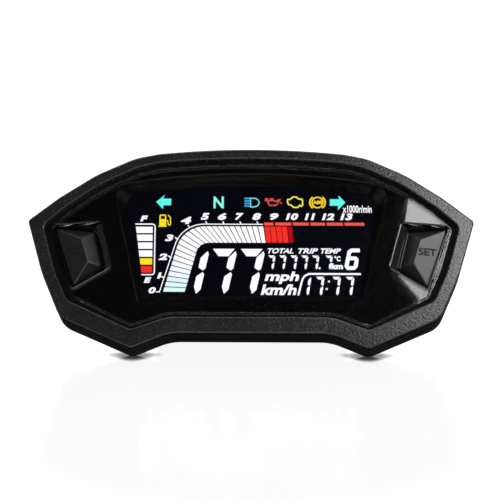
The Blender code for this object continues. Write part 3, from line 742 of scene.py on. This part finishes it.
def make_legend(name, text, side, body):
    """A key's word, laid on its main facet as thin raised letters."""
    x, height, depth = CAP_RIDGE[0]
    corner = Vector((side * x, height, depth))
    along = Vector((side * CAP[1][0], CAP[1][1], CAP_RIM_DEPTH[1]))
    x, height, depth = CAP_RIDGE[1]
    down = Vector((side * x, height, depth))
    normal = (along - corner).cross(down - corner)
    half_width, bold = LEGENDS[text]
    middle, level = side * LEGEND_PLACE[0], LEGEND_PLACE[1]
    shapes = letter_shapes(text, (middle - half_width, middle + half_width),
                           (level - LEGEND_HALF_HEIGHT, level + LEGEND_HALF_HEIGHT), bold)

    def on_facet(x, height, front):
        depth = corner.z - (normal.x * (x - corner.x) + normal.y * (height - corner.y)) / normal.z
        return place(x, height, depth - LEGEND_RAISED if front else depth + LEGEND_SUNK)

    mesh = bmesh.new()
    add_tiles(mesh, shapes, on_facet)
    finished(finish_mesh(mesh, name), body, "button_plastic", material="key_legend")


# ---- flat shapes for letters and segments

def letter_shapes(text, across, heights, bold=0.0, slant=0.0):
    """A word's flat shape, fitted to a box: its points and its faces."""
    curve = bpy.data.curves.new("word", "FONT")
    curve.body = text
    curve.offset = bold
    curve.resolution_u = 4
    holder = bpy.data.objects.new("word", curve)
    bpy.context.scene.collection.objects.link(holder)
    bpy.context.view_layer.update()
    graph = bpy.context.evaluated_depsgraph_get()
    flat = bpy.data.meshes.new_from_object(holder.evaluated_get(graph))
    bpy.data.objects.remove(holder, do_unlink=True)
    low = min(vertex.co.y for vertex in flat.vertices)
    points = [(vertex.co.x + slant * (vertex.co.y - low), vertex.co.y) for vertex in flat.vertices]
    faces = [tuple(face.vertices) for face in flat.polygons]
    left, right = min(x for x, _ in points), max(x for x, _ in points)
    scale_x = (across[1] - across[0]) / (right - left)
    scale_h = (heights[1] - heights[0]) / (max(height for _, height in points) - low)
    fitted = [(across[0] + (x - left) * scale_x, heights[0] + (height - low) * scale_h)
              for x, height in points]
    return fitted, faces


def add_tiles(mesh, shapes, at):
    """Adds a flat shape to a mesh as a thin closed tile; at(x, height, is_front) gives each point."""
    points, faces = shapes
    used = sorted({index for face in faces for index in face})
    front = {index: mesh.verts.new(at(*points[index], True)) for index in used}
    back = {index: mesh.verts.new(at(*points[index], False)) for index in used}
    borders = {}
    for face in faces:
        mesh.faces.new([front[index] for index in face])
        mesh.faces.new([back[index] for index in reversed(face)])
        for first, second in zip(face, face[1:] + face[:1]):
            key = (min(first, second), max(first, second))
            borders[key] = None if key in borders else (first, second)
    for edge in borders.values():
        if edge:
            first, second = edge
            mesh.faces.new((front[second], front[first], back[first], back[second]))


COLOURS = {        # colour and strength of each colour of segment
    "cyan": ((0.12, 0.92, 0.82), 1.15), "green": ((0.25, 0.95, 0.72), 1.15), "blue": ((0.06, 0.42, 0.9), 1.0),
    "aqua": ((0.25, 0.8, 0.95), 1.0), "coral": ((1.0, 0.11, 0.08), 1.0), "straw": ((0.95, 0.86, 0.12), 1.05),
    "amber": ((1.0, 0.72, 0.03), 1.05), "white": ((0.95, 0.95, 1.0), 1.25), "yellow": ((1.0, 0.8, 0.01), 1.1),
    "red": ((1.0, 0.03, 0.02), 1.05), "pale": ((0.72, 0.92, 0.96), 1.2), "frost": ((0.86, 0.95, 1.0), 1.2),
    "dark_red": ((0.6, 0.0, 0.01), 0.9),
}
ink = {colour: [] for colour in COLOURS}        # each display colour's flat shapes


def stamp(colour, points):
    """A tile of one display colour, from its outline on the dial."""
    ink[colour].append((list(points), [tuple(range(len(points)))]))


def word(colour, text, across, heights, bold=0.02, slant=0.0):
    """A word of one display colour, fitted to a box."""
    ink[colour].append(letter_shapes(text, across, heights, bold, slant))


def stroke(colour, points, width, closed=False):
    """A line of even width along points, with mitred corners."""
    count = len(points)
    sides = []
    for index, point in enumerate(points):
        here = Vector(point)
        before = Vector(points[index - 1]) if closed or index else here
        after = Vector(points[(index + 1) % count]) if closed or index < count - 1 else here
        first = (here - before).normalized() if before != here else (after - here).normalized()
        second = (after - here).normalized() if after != here else first
        across = Vector((first.y + second.y, -first.x - second.x)) / max(1.0 + first.dot(second), 0.4)
        sides.append((here + across * width / 2, here - across * width / 2))
    flat = [tuple(point) for pair in sides for point in pair]
    last = count if closed else count - 1
    faces = []
    for index in range(last):
        a, b = 2 * index, 2 * ((index + 1) % count)
        faces.append((a, b, b + 1, a + 1))
    ink[colour].append((flat, faces))


def arc(x, height, radius, start, end, steps=16, squash=1.0):
    """Points round an arc; angles in degrees, anticlockwise from the right."""
    turns = [math.radians(start + (end - start) * step / steps) for step in range(steps + 1)]
    return [(x + radius * math.cos(turn), height + squash * radius * math.sin(turn)) for turn in turns]


SEGMENTS_OF = {
    "0": "abcdef", "1": "bc", "2": "abged", "3": "abgcd", "4": "fgbc", "5": "afgcd",
    "6": "afgedc", "7": "abc", "8": "abcdefg", "9": "abcdfg",
}


def segment_outlines(wide, tall, thick):
    """The seven bars of a display figure, upright, from its bottom left corner."""
    middle, t = tall / 2, thick

    def mirrored(shape):
        return [(wide - x, height) for x, height in shape]

    upper = [(wide - .25 * t, tall - .35 * t), (wide, tall - .75 * t), (wide, middle + .4 * t),
             (wide - .3 * t, middle + .12 * t), (wide - t, middle + .55 * t), (wide - t, tall - 1.3 * t)]
    lower = [(wide - .25 * t, middle - .12 * t), (wide, middle - .45 * t), (wide, .6 * t),
             (wide - .5 * t, 0.0), (wide - t, t), (wide - t, middle - .75 * t)]
    top = [(0.0, tall), (wide - .45 * t, tall), (wide - 1.05 * t, tall - 1.08 * t), (t, tall - 1.08 * t)]
    centre = [(.45 * t, middle), (t, middle + .5 * t), (wide - t, middle + .5 * t), (wide - .45 * t, middle),
              (wide - t, middle - .5 * t), (t, middle - .5 * t)]
    return {
        "a": top, "b": upper, "c": lower, "d": [(wide - x, tall - height) for x, height in top],
        "e": mirrored(lower), "f": mirrored(upper), "g": centre,
    }


def figure(colour, digit, right, base, wide, tall, thick, slant):
    """A seven-segment figure whose right edge, before it slants, is at a given place."""
    shapes = segment_outlines(wide, tall, thick)
    for letter in SEGMENTS_OF[digit]:
        stamp(colour, [(right - wide + x + slant * height, base + height) for x, height in shapes[letter]])


# ---- the dial

SYMBOL_PLATES = [       # colour, outline: turn arrows, oil drop, fuel pump's body
    ("cyan", [(-42.8, 25.0), (-38.8, 28.35), (-39.7, 26.55), (-35.96, 26.55), (-36.1, 23.4), (-39.4, 23.4),
              (-39.7, 21.65)]),
    ("cyan", [(42.2, 25.0), (39.0, 28.35), (39.4, 26.5), (35.2, 26.5), (35.2, 23.4), (38.9, 23.4),
              (38.8, 21.3)]),
    ("coral", [(13.35, 25.4), (13.75, 24.5), (13.4, 24.05), (13.0, 24.5)]),
    ("yellow", [(-41.2, 13.5), (-38.1, 13.5), (-38.1, 16.9), (-41.2, 16.9)]),
]
SYMBOL_LOOPS = [        # colour, width, closed line: headlamp, oil can, engine, brake disc
    ("aqua", 0.5, [(-0.35, 22.75), (-0.35, 26.85)] + arc(0.9, 24.8, 2.6, 90, -90, 18, 0.79)),
    ("coral", 0.5, [(7.2, 25.6), (8.1, 23.5), (11.2, 23.5), (13.0, 26.35), (12.1, 26.0), (11.0, 25.3),
                    (9.6, 26.0), (8.0, 25.6)]),
    ("straw", 0.62, [(16.2, 25.2), (16.35, 26.3), (17.3, 26.3), (18.1, 26.9), (18.6, 27.5), (20.2, 27.5),
                     (20.7, 26.9), (21.7, 26.4), (22.7, 26.5), (23.0, 25.6), (23.0, 23.7), (22.5, 23.1),
                     (21.7, 23.6), (21.0, 22.6), (18.9, 22.6), (17.8, 23.7), (16.7, 23.9)]),
    ("amber", 0.62, arc(29.7, 24.9, 2.45, 0, 352, 30)),
]
SYMBOL_LINES = [        # colour, width, open line: oil can's spout and lid, brake arcs, fuel pump
    ("coral", 0.45, [(7.4, 25.5), (6.3, 25.75), (6.5, 26.8), (7.7, 26.2)]),
    ("coral", 0.45, [(8.2, 26.6), (9.9, 26.6)]),
    ("coral", 0.45, [(9.05, 25.9), (9.05, 26.5)]),
    ("amber", 0.72, arc(29.7, 24.9, 3.45, 128, 232, 12, 0.95)),
    ("amber", 0.72, arc(29.7, 24.9, 3.45, -52, 52, 12, 0.95)),
    ("yellow", 0.6, [(-40.9, 18.75), (-38.4, 18.75)]),
    ("yellow", 0.6, [(-40.9, 18.5), (-40.9, 16.9)]),
    ("yellow", 0.6, [(-38.4, 18.5), (-38.4, 16.9)]),
    ("yellow", 0.5, [(-41.6, 13.5), (-38.0, 13.5)]),
    ("yellow", 0.45, [(-38.0, 16.3), (-37.4, 16.0), (-37.2, 14.3), (-36.5, 14.0), (-36.1, 14.6),
                      (-36.3, 16.6), (-36.05, 17.4), (-37.3, 18.8)]),
]
LAMP_RAYS = (26.85, 25.65, 24.45, 23.25)


def draw_symbols():
    """The row of warning symbols, the fuel pump and the unit of engine speed."""
    for colour, outline in SYMBOL_PLATES:
        stamp(colour, outline)
    for colour, width, line in SYMBOL_LOOPS:
        stroke(colour, line, width, closed=True)
    for colour, width, line in SYMBOL_LINES:
        stroke(colour, line, width)
    for height in LAMP_RAYS:
        stroke("blue", [(-3.1, height - 0.1), (-0.7, height)], 0.72)
    word("green", "N", (-17.0, -12.35), (22.0, 27.6), 0.03)
    word("amber", "ABS", (27.6, 31.8), (24.15, 25.8), 0.06)
    word("white", "x1000r/min", (41.0, 54.0), (20.1, 23.6), 0.02)


FUEL_COLOURS = ("white", "white", "white", "white", "yellow", "red")
FUEL_TOP, FUEL_PITCH, FUEL_BAR, FUEL_RIGHT = 13.25, 3.7, 2.95, -44.1


def draw_fuel():
    """The fuel column between F and E, its left edge sloping with the dial's."""
    word("white", "F", (-49.8, -46.3), (15.8, 18.5), 0.06, 0.22)
    word("white", "E", (-47.7, -44.3), (-13.0, -10.4), 0.06, 0.22)

    def left(height):
        return -51.7 + (13.35 - height) * 2.9 / 21.65

    for number, colour in enumerate(FUEL_COLOURS):
        top = FUEL_TOP - FUEL_PITCH * number
        bottom = top - FUEL_BAR
        stamp(colour, [(left(top), top), (FUEL_RIGHT, top), (FUEL_RIGHT, bottom), (left(bottom), bottom)])
    frame_line = [(-51.9, 14.5)] + arc(-44.25, 13.3, 1.2, 90, 0, 6) + arc(-44.25, -8.0, 1.2, 0, -90, 6)
    stroke("white", frame_line + [(-48.8, -9.2)], 0.55)


def blend_path(points, radius, steps=14):
    """The line through three points, with its middle corner rounded."""
    start, corner, end = (Vector(point) for point in points)
    before, after = (start - corner), (end - corner)
    half_angle = before.angle(after) / 2
    reach = radius / math.tan(half_angle)
    first, last = corner + before.normalized() * reach, corner + after.normalized() * reach
    return [tuple(start)] + conic(first, corner, last, half_angle, steps) + [tuple(end)]


def walk(path, share):
    """The point a given share of the way along a path."""
    lengths = [(Vector(b) - Vector(a)).length for a, b in zip(path, path[1:])]
    wanted = share * sum(lengths)
    for (a, b), length in zip(zip(path, path[1:]), lengths):
        if wanted <= length:
            return Vector(a).lerp(Vector(b), wanted / length)
        wanted -= length
    return Vector(path[-1])


BARS, BAR_GAP, BAR_STEPS = 25, 0.085, 3         # the gap is a share of a bar's width
PALE_BARS, FROST_BARS = 3, 6                    # the lowest bars are bluer
TACH_LINE = [(-40.2, -17.3), (-31.2, 14.6), (5.3, 14.55)]
TACH_RIM = [(-39.0, -17.3), (-30.3, 13.55), (5.6, 13.55)]
TACH_HUB = [(-29.4, -17.3), (-23.25, 5.9), (6.75, 5.9)]
RED_BARS, RED_LEFT, RED_PITCH, RED_HEIGHTS = 5, 5.95, 2.6, (13.5, 6.0)
RED_LINES = ((5.8, 9.9), (10.7, 17.9), (18.6, 25.7), (26.4, 33.0), (33.8, 41.0), (41.7, 50.6))
LOW_NUMBERS = [
    ("0", (-45.5, -42.2), (-17.9, -15.0)), ("1", (-41.8, -39.7), (-11.0, -8.2)),
    ("2", (-41.4, -37.3), (-2.3, 0.7)), ("3", (-38.6, -34.7), (6.5, 9.6)),
    ("4", (-31.6, -26.8), (14.6, 18.0)),
]
HIGH_HALF_WIDTHS = [1.95, 1.95, 1.95, 1.95, 1.95, 2.8, 2.35, 2.8, 2.8]      # of the numbers 5 to 13
TACH_TICKS = [
    [(-40.5, -9.9), (-38.4, -10.6)], [(-37.0, -0.4), (-35.4, -1.3)], [(-34.0, 8.3), (-32.6, 7.2)],
    [(-28.3, 14.0), (-27.3, 12.8)],
] + [[(-20.4 + 7.65 * number, 15.9), (-19.8 + 7.65 * number, 14.7)] for number in range(4)]


def draw_tachometer():
    """The bent band of bars with its line, red zone, numbers and ticks."""
    line = blend_path(TACH_LINE, 13.5)
    stroke("white", [(-42.2, -17.2), (-40.6, -17.2)] + line[1:], 0.42)
    outer, inner = blend_path(TACH_RIM, 13.0, 24), blend_path(TACH_HUB, 6.0, 24)
    for number in range(BARS):
        first, last = (number + BAR_GAP) / BARS, (number + 1 - BAR_GAP) / BARS
        shares = [first + (last - first) * step / BAR_STEPS for step in range(BAR_STEPS + 1)]
        rim = [tuple(walk(outer, share)) for share in shares]
        hub = [tuple(walk(inner, share)) for share in reversed(shares)]
        stamp("pale" if number < PALE_BARS else "frost" if number < FROST_BARS else "white", rim + hub)
    top, bottom = RED_HEIGHTS
    for number in range(RED_BARS):
        is_last = number == RED_BARS - 1
        left = RED_LEFT + RED_PITCH * number
        right = left + (2.0 if is_last else 2.3)
        lean = 1.0 - 0.06 * number
        stamp("dark_red" if is_last else "red",
              [(left, top), (right, top), (right + lean - 0.06, bottom), (left + lean, bottom)])
    for left, right in RED_LINES:
        stamp("coral", [(left, 15.45), (right, 15.45), (right + 0.2, 14.05), (left + 0.2, 14.05)])
    for text, across, heights in LOW_NUMBERS:
        word("white", text, across, heights, 0.05, 0.2)
    for number, half in enumerate(HIGH_HALF_WIDTHS):
        centre = -20.7 + 7.6 * number + 0.04 * number * number
        word("white", str(number + 5), (centre - half, centre + half), (16.6, 19.8), 0.05, 0.2)
    for tick in TACH_TICKS:
        stroke("white", tick, 0.5)


FIGURES = [         # digits with their right edges, base, width, height, bar width, slant
    ([("1", -22.7), ("7", -10.25), ("7", 2.25)], -18.0, 11.1, 21.0, 3.2, 0.21),
    ([("7", left + 2.4) for left in (7.8, 12.7, 17.7, 22.5, 27.4, 33.4)], -6.5, 3.3, 6.5, 1.05, 0.14),
    ([("1", 26.0), ("7", 31.9), ("7", 39.2), ("7", 45.2)], -18.5, 3.9, 8.6, 1.2, 0.14),
]
WORDS = [           # colour, text, reach across, heights, boldness, slant
    ("white", "TOTAL", (7.5, 19.0), (0.9, 3.35), 0.03, 0.3),
    ("white", "TRIP", (21.1, 30.0), (0.9, 3.35), 0.03, 0.3),
    ("white", "TEMP", (31.2, 40.3), (0.9, 3.35), 0.035, 0.3),
    ("white", "°C", (37.3, 40.1), (-2.7, -0.2), 0.04),
    ("frost", "km", (36.1, 41.2), (-6.4, -3.6), 0.06),
    ("white", "mph", (6.2, 21.7), (-13.3, -7.5), 0.035, 0.2),
    ("white", "km/h", (4.6, 20.6), (-18.5, -13.5), 0.035, 0.2),
]
DECIMAL_POINT = [(30.3, -6.3), (31.1, -6.3), (31.2, -5.5), (30.4, -5.5)]
GEAR_SIX = [
    (48.7, 2.45), (45.0, 2.45), (44.0, 1.7), (42.75, -4.9), (43.4, -5.8), (46.0, -5.8), (46.85, -5.0),
    (47.3, -2.1), (46.7, -1.25), (44.1, -1.25),
]
CLOCK_LINE = [(21.3, -18.6), (22.8, -12.4), (23.3, -10.8), (24.2, -9.5), (26.0, -8.6), (49.2, -8.6)]
CLOCK_DOTS = ((34.9, -12.1), (33.9, -15.6))


def draw_readouts():
    """Speed, totals, gear and clock."""
    for digits, base, wide, tall, thick, slant in FIGURES:
        for digit, right in digits:
            figure("white", digit, right, base, wide, tall, thick, slant)
    for entry in WORDS:
        word(*entry)
    stamp("white", DECIMAL_POINT)
    stroke("white", GEAR_SIX, 1.75)
    stroke("white", CLOCK_LINE, 0.85)
    for x, height in CLOCK_DOTS:
        stamp("white", [(x - 0.45, height - 0.4), (x + 0.4, height - 0.4), (x + 0.5, height + 0.4),
                        (x - 0.35, height + 0.4)])


DIAL_STRETCH, DIAL_SHIFT = 1.012, -0.05     # the segments' layout across, as drawn to as built, mm


def make_dial():
    """The display's lit segments, one thin piece for each colour."""
    draw_symbols()
    draw_fuel()
    draw_tachometer()
    draw_readouts()
    for colour, shapes in ink.items():
        mesh = bmesh.new()
        for shape in shapes:
            add_tiles(mesh, shape, lambda x, height, front: place(
                x * DIAL_STRETCH + DIAL_SHIFT, height, INK_FRONT if front else INK_BACK))
        thing = finish_mesh(mesh, f"dial_{colour}")
        thing.data.transform(STAND)
        thing.data.materials.append(lit(f"dial_{colour}", *COLOURS[colour]))
        thing.visible_diffuse = False
        thing.visible_glossy = False
        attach(thing, "case")


# ---- fittings at the back

def make_case_screws():
    """Pan-head screws with a cross recess, each turned a little differently."""
    for number, (x, height) in enumerate(both_sides(CASE_SCREWS), start=1):
        screw = turned(f"case_screw_head_{number}", x, height, SCREW_TURNING)
        turn = math.radians(CROSS_TURN * number)
        for quarter_turn in (0.0, math.pi / 2):
            along = Vector((math.cos(turn + quarter_turn), math.sin(turn + quarter_turn)))
            across = Vector((-along.y, along.x))
            corners = [Vector((x, height)) + along * CROSS_HALF[0] * a + across * CROSS_HALF[1] * b
                       for a, b in ((-1, 1), (1, 1), (1, -1), (-1, -1))]
            cut(screw, prism("cross", [tuple(corner) for corner in corners], CROSS_FRONT, 19.5 + PAST))
        finished(smooth(screw), "case", "screw_steel", [f"case_screw_{number}"])


def turned_ring(name, x, height, turning):
    """A turned piece that closes on itself round a bore."""
    return loft(name, [(circle(x, height, radius, 48), depth) for radius, depth in turning], ring=True)


def make_mount_fittings():
    """A threaded insert and a grooved rubber washer at each mounting point."""
    for number, (x, height) in enumerate(INSERTS, start=1):
        sleeve = turned_ring(f"brass_insert_{number}", x, height, INSERT_TURNING)
        finished(smooth(sleeve), "case", "contact_brass", [f"mount_insert_{number}"])
        washer = turned_ring(f"rubber_washer_{number}", x, height, WASHER_TURNING)
        outer, inner = (circle(x, height, radius, 48) for radius in WASHER_GROOVE)
        cut(washer, band("groove", outer, inner, *WASHER_GROOVE_DEPTHS))
        finished(smooth(washer), "case", "isolator_rubber", [f"isolator_{number}"])


def make_connector():
    """The harness socket's shell, flanged and ribbed, with its mouth to the back."""
    x, height = SOCKET
    wide, tall = SOCKET_HALF

    def outline(grow, radius):
        return rectangle(wide + grow, height - tall - grow, height + tall + grow, radius, x)

    shell = loft("harness_shell", [
        (outline(SOCKET_WALL - 0.3, 1.6), SOCKET_FRONT), (outline(SOCKET_WALL, 1.8), SOCKET_FRONT + 0.3),
        (outline(SOCKET_WALL, 1.8), SOCKET_BACK - 0.3), (outline(SOCKET_WALL - 0.25, 1.6), SOCKET_BACK),
    ])
    join(shell, prism("flange", outline(SOCKET_FLANGE, 2.0), *SOCKET_FLANGE_DEPTHS))
    cut(shell, loft("inside", [
        (outline(0.0, 1.0), SOCKET_FRONT + 1.8), (outline(0.0, 1.0), SOCKET_BACK - 0.5),
        (outline(0.35, 1.2), SOCKET_BACK), (outline(0.35, 1.2), SOCKET_BACK + PAST)]))
    slot = rectangle(PIN_SLOT[0], height - PIN_SLOT[1], height + PIN_SLOT[1], 0.0, x)
    cut(shell, prism("slot", slot, SOCKET_FRONT - PAST, SOCKET_FRONT + 3.0))
    for middle in SOCKET_RIBS:
        rib = rectangle(0.6, height + tall - 0.9, height + tall + 0.4, 0.0, middle)
        join(shell, prism("rib", rib, SOCKET_FRONT + 4.0, SOCKET_BACK - 1.2))
    finished(smooth(shell), "case", "connector_plastic", ["connector_shell"])


def make_vent_cap():
    """A round cap with notches in its rim."""
    cap = turned("vent_button", *VENT, VENT_TURNING)
    for step in range(VENT_NOTCHES):
        turn = 2 * math.pi * step / VENT_NOTCHES
        x, height = VENT[0] + VENT_NOTCH_REACH * math.cos(turn), VENT[1] + VENT_NOTCH_REACH * math.sin(turn)
        cut(cap, rod(x, height, VENT_NOTCH, WASHER_FRONT - PAST, 46.0, 20))
    finished(smooth(cap), "case", "connector_plastic", ["vent_cap"])


def dress_cad_nodes():
    """A procedural material, by slot, for each CAD node that stays in view."""
    slots = {part["node"]: part["material_slot"] for part in RECORD["subparts"]}
    for name, thing in NODES.items():
        for held in thing.material_slots:
            held.material = MATERIALS[slots[name]]


# ---- floor, light and camera

FLOOR_REACH, FLOOR_STEPS, FLOOR_TOP = 3.0, 12, -0.0004      # m; just under the lowest points
CONTACT_REACH = 0.0045         # how far from a touching edge its shadow shows, m
CONTACT_FRONT, CONTACT_FULL = -0.012, -0.004        # where the shadow starts and is full, m


def make_floor():
    """A white floor, lit from itself, with a painted contact shadow where the cluster stands on it."""
    mesh = bmesh.new()
    spread = [FLOOR_REACH * (2 * i / FLOOR_STEPS - 1) for i in range(FLOOR_STEPS + 1)]
    grid = [[mesh.verts.new((x, y, FLOOR_TOP)) for x in spread] for y in spread]
    for front, back in zip(grid, grid[1:]):
        for i in range(FLOOR_STEPS):
            mesh.faces.new((front[i], front[i + 1], back[i + 1], back[i]))
    floor = finish_mesh(mesh, "floor")
    nodes = Nodes("floor_white").set(Roughness=0.14, Specular_IOR_Level=0.5, Emission_Strength=0.92,
                                     Base_Color=(0.05, 0.05, 0.05, 1.0))
    # Painted contact shadow: the floor's glow darkens near the cluster's touching edges.
    near = nodes.add("ShaderNodeAmbientOcclusion", {"Distance": CONTACT_REACH}, samples=8).outputs["AO"]
    contact = nodes.shades(near, (0.03, 0.03, 0.03), (1.0, 1.0, 1.0), 0.4, 0.9)
    spot = nodes.add("ShaderNodeSeparateXYZ", {0: nodes.place}).outputs
    under = nodes.span(spot["Y"], 0.0, 1.0, CONTACT_FRONT, CONTACT_FULL)
    nodes.set(Emission_Color=nodes.mix(under, contact, (1.0, 1.0, 1.0)))
    nodes.bump(nodes.noise(2.0, 2.0), 0.01, 0.1)
    floor.data.materials.append(nodes.owner)
    floor.visible_diffuse = False
    floor.visible_glossy = False
    floor.visible_transmission = False


MIRRORED = Vector((0.0, -1.0, 1.0)).normalized()
CARD_DISTANCE = 0.18           # from the dial, along the camera's mirrored line
CARD_CORNERS = [               # across and up the card, m; both left corners are cut off
    (0.1000, 0.060), (0.0757, 0.030), (0.0740, 0.016), (0.0693, -0.009), (0.108, -0.054),
    (0.270, -0.054), (0.270, 0.060),
]
CARD_LOW, CARD_HIGH = 3.0, 5.2     # its radiance at its lower and upper edges


def make_light():
    """A bright card close by on the right: its mirror image lies on the lens and its glare on the bezel."""
    upward = MIRRORED.cross(RIGHT)
    middle = ORIGIN + MIRRORED * CARD_DISTANCE
    mesh = bmesh.new()
    mesh.faces.new([mesh.verts.new(middle + RIGHT * across + upward * up) for across, up in CARD_CORNERS])
    data = bpy.data.meshes.new("card")
    mesh.to_mesh(data)
    mesh.free()
    card = bpy.data.objects.new("card", data)
    bpy.context.scene.collection.objects.link(card)
    nodes = Nodes("card_glow").set(Base_Color=(0.0, 0.0, 0.0, 1.0), Emission_Color=(1.0, 0.99, 1.0, 1.0))
    spot = nodes.add("ShaderNodeSeparateXYZ", {0: nodes.place}).outputs
    heights = [vertex.co.z for vertex in data.vertices]
    nodes.set(Emission_Strength=nodes.span(spot["Z"], CARD_LOW, CARD_HIGH, min(heights), max(heights)))
    data.materials.append(nodes.owner)
    card.visible_camera = False
    card.visible_shadow = False


WORLD_BASE = 0.013             # what the darkest parts of the studio give
WORLD_LIGHTS = [               # direction, where its light starts and is full (cosines), strength
    (UP, 0.5, 0.92, 0.9),
    ((0.0, 0.966, 0.26), 0.8, 0.93, 0.6),
    ((-1.0, 0.0, 0.0), 0.6, 0.95, 0.3),
    ((1.0, 0.0, 0.0), 0.6, 0.95, 0.25),
    ((0.0, -1.0, 0.0), 0.78, 0.95, 0.8),
    ((0.687, -0.587, 0.425), 0.982, 0.994, 9.0),
]


def make_world():
    """Dark where the dial would mirror it, and soft light above, behind, at the sides and in front."""
    nodes = Nodes("studio", bpy.data.worlds, "Background", "Generated")
    bpy.context.scene.world = nodes.owner
    total = None
    for heading, start, full, strength in WORLD_LIGHTS:
        facing = nodes.add("ShaderNodeVectorMath", {0: nodes.place, 1: heading}, operation="DOT_PRODUCT")
        part = nodes.span(facing.outputs["Value"], 0.0 if total else WORLD_BASE, strength, start, full,
                          interpolation_type="SMOOTHSTEP")
        total = nodes.maths("ADD", total, part) if total else part
    nodes.set(Color=(1.0, 1.0, 1.0, 1.0), Strength=total)


CAMERA_DISTANCE, CAMERA_RISE, CAMERA_TURN, CAMERA_ROLL = 1.4, 15.0, 1.5, 0.2
CAMERA_LENS = 224.3
AIM_SIDE = -0.2               # how far to the left of the dial's middle the camera looks, mm


def make_camera():
    """A long lens from the front, a little raised and a little to the right."""
    rise, swing = math.radians(CAMERA_RISE), math.radians(CAMERA_TURN)
    data = bpy.data.cameras.new("camera")
    data.lens, data.sensor_width = CAMERA_LENS, 36.0
    data.clip_end = 20.0
    camera = bpy.data.objects.new("camera", data)
    bpy.context.scene.collection.objects.link(camera)
    aim = ORIGIN + RIGHT * AIM_SIDE * MM
    away = Vector((math.sin(swing) * math.cos(rise), -math.cos(swing) * math.cos(rise), math.sin(rise)))
    camera.location = aim + away * CAMERA_DISTANCE
    facing = (aim - camera.location).to_track_quat("-Z", "Y").to_matrix().to_4x4()
    turn = Vector((0.0, 0.0, 1.0))
    facing = facing @ Matrix.Rotation(math.radians(-CAMERA_ROLL), 4, turn)
    camera.rotation_euler = facing.to_euler()
    bpy.context.scene.camera = camera


def main():
    """The looks and shapes of the whole scene, in the order in which they are made."""
    bpy.context.scene.view_settings.view_transform = "Standard"
    dress_cad_nodes()
    make_bezel()
    make_housing()
    make_lens()
    make_mask()
    make_button("mode_cap", -1, "mode_key", "mode_button", "MODE")
    make_button("set_cap", 1, "set_key", "set_button", "SET")
    make_dial()
    make_case_screws()
    make_mount_fittings()
    make_connector()
    make_vent_cap()
    make_floor()
    make_light()
    make_world()
    make_camera()


main()
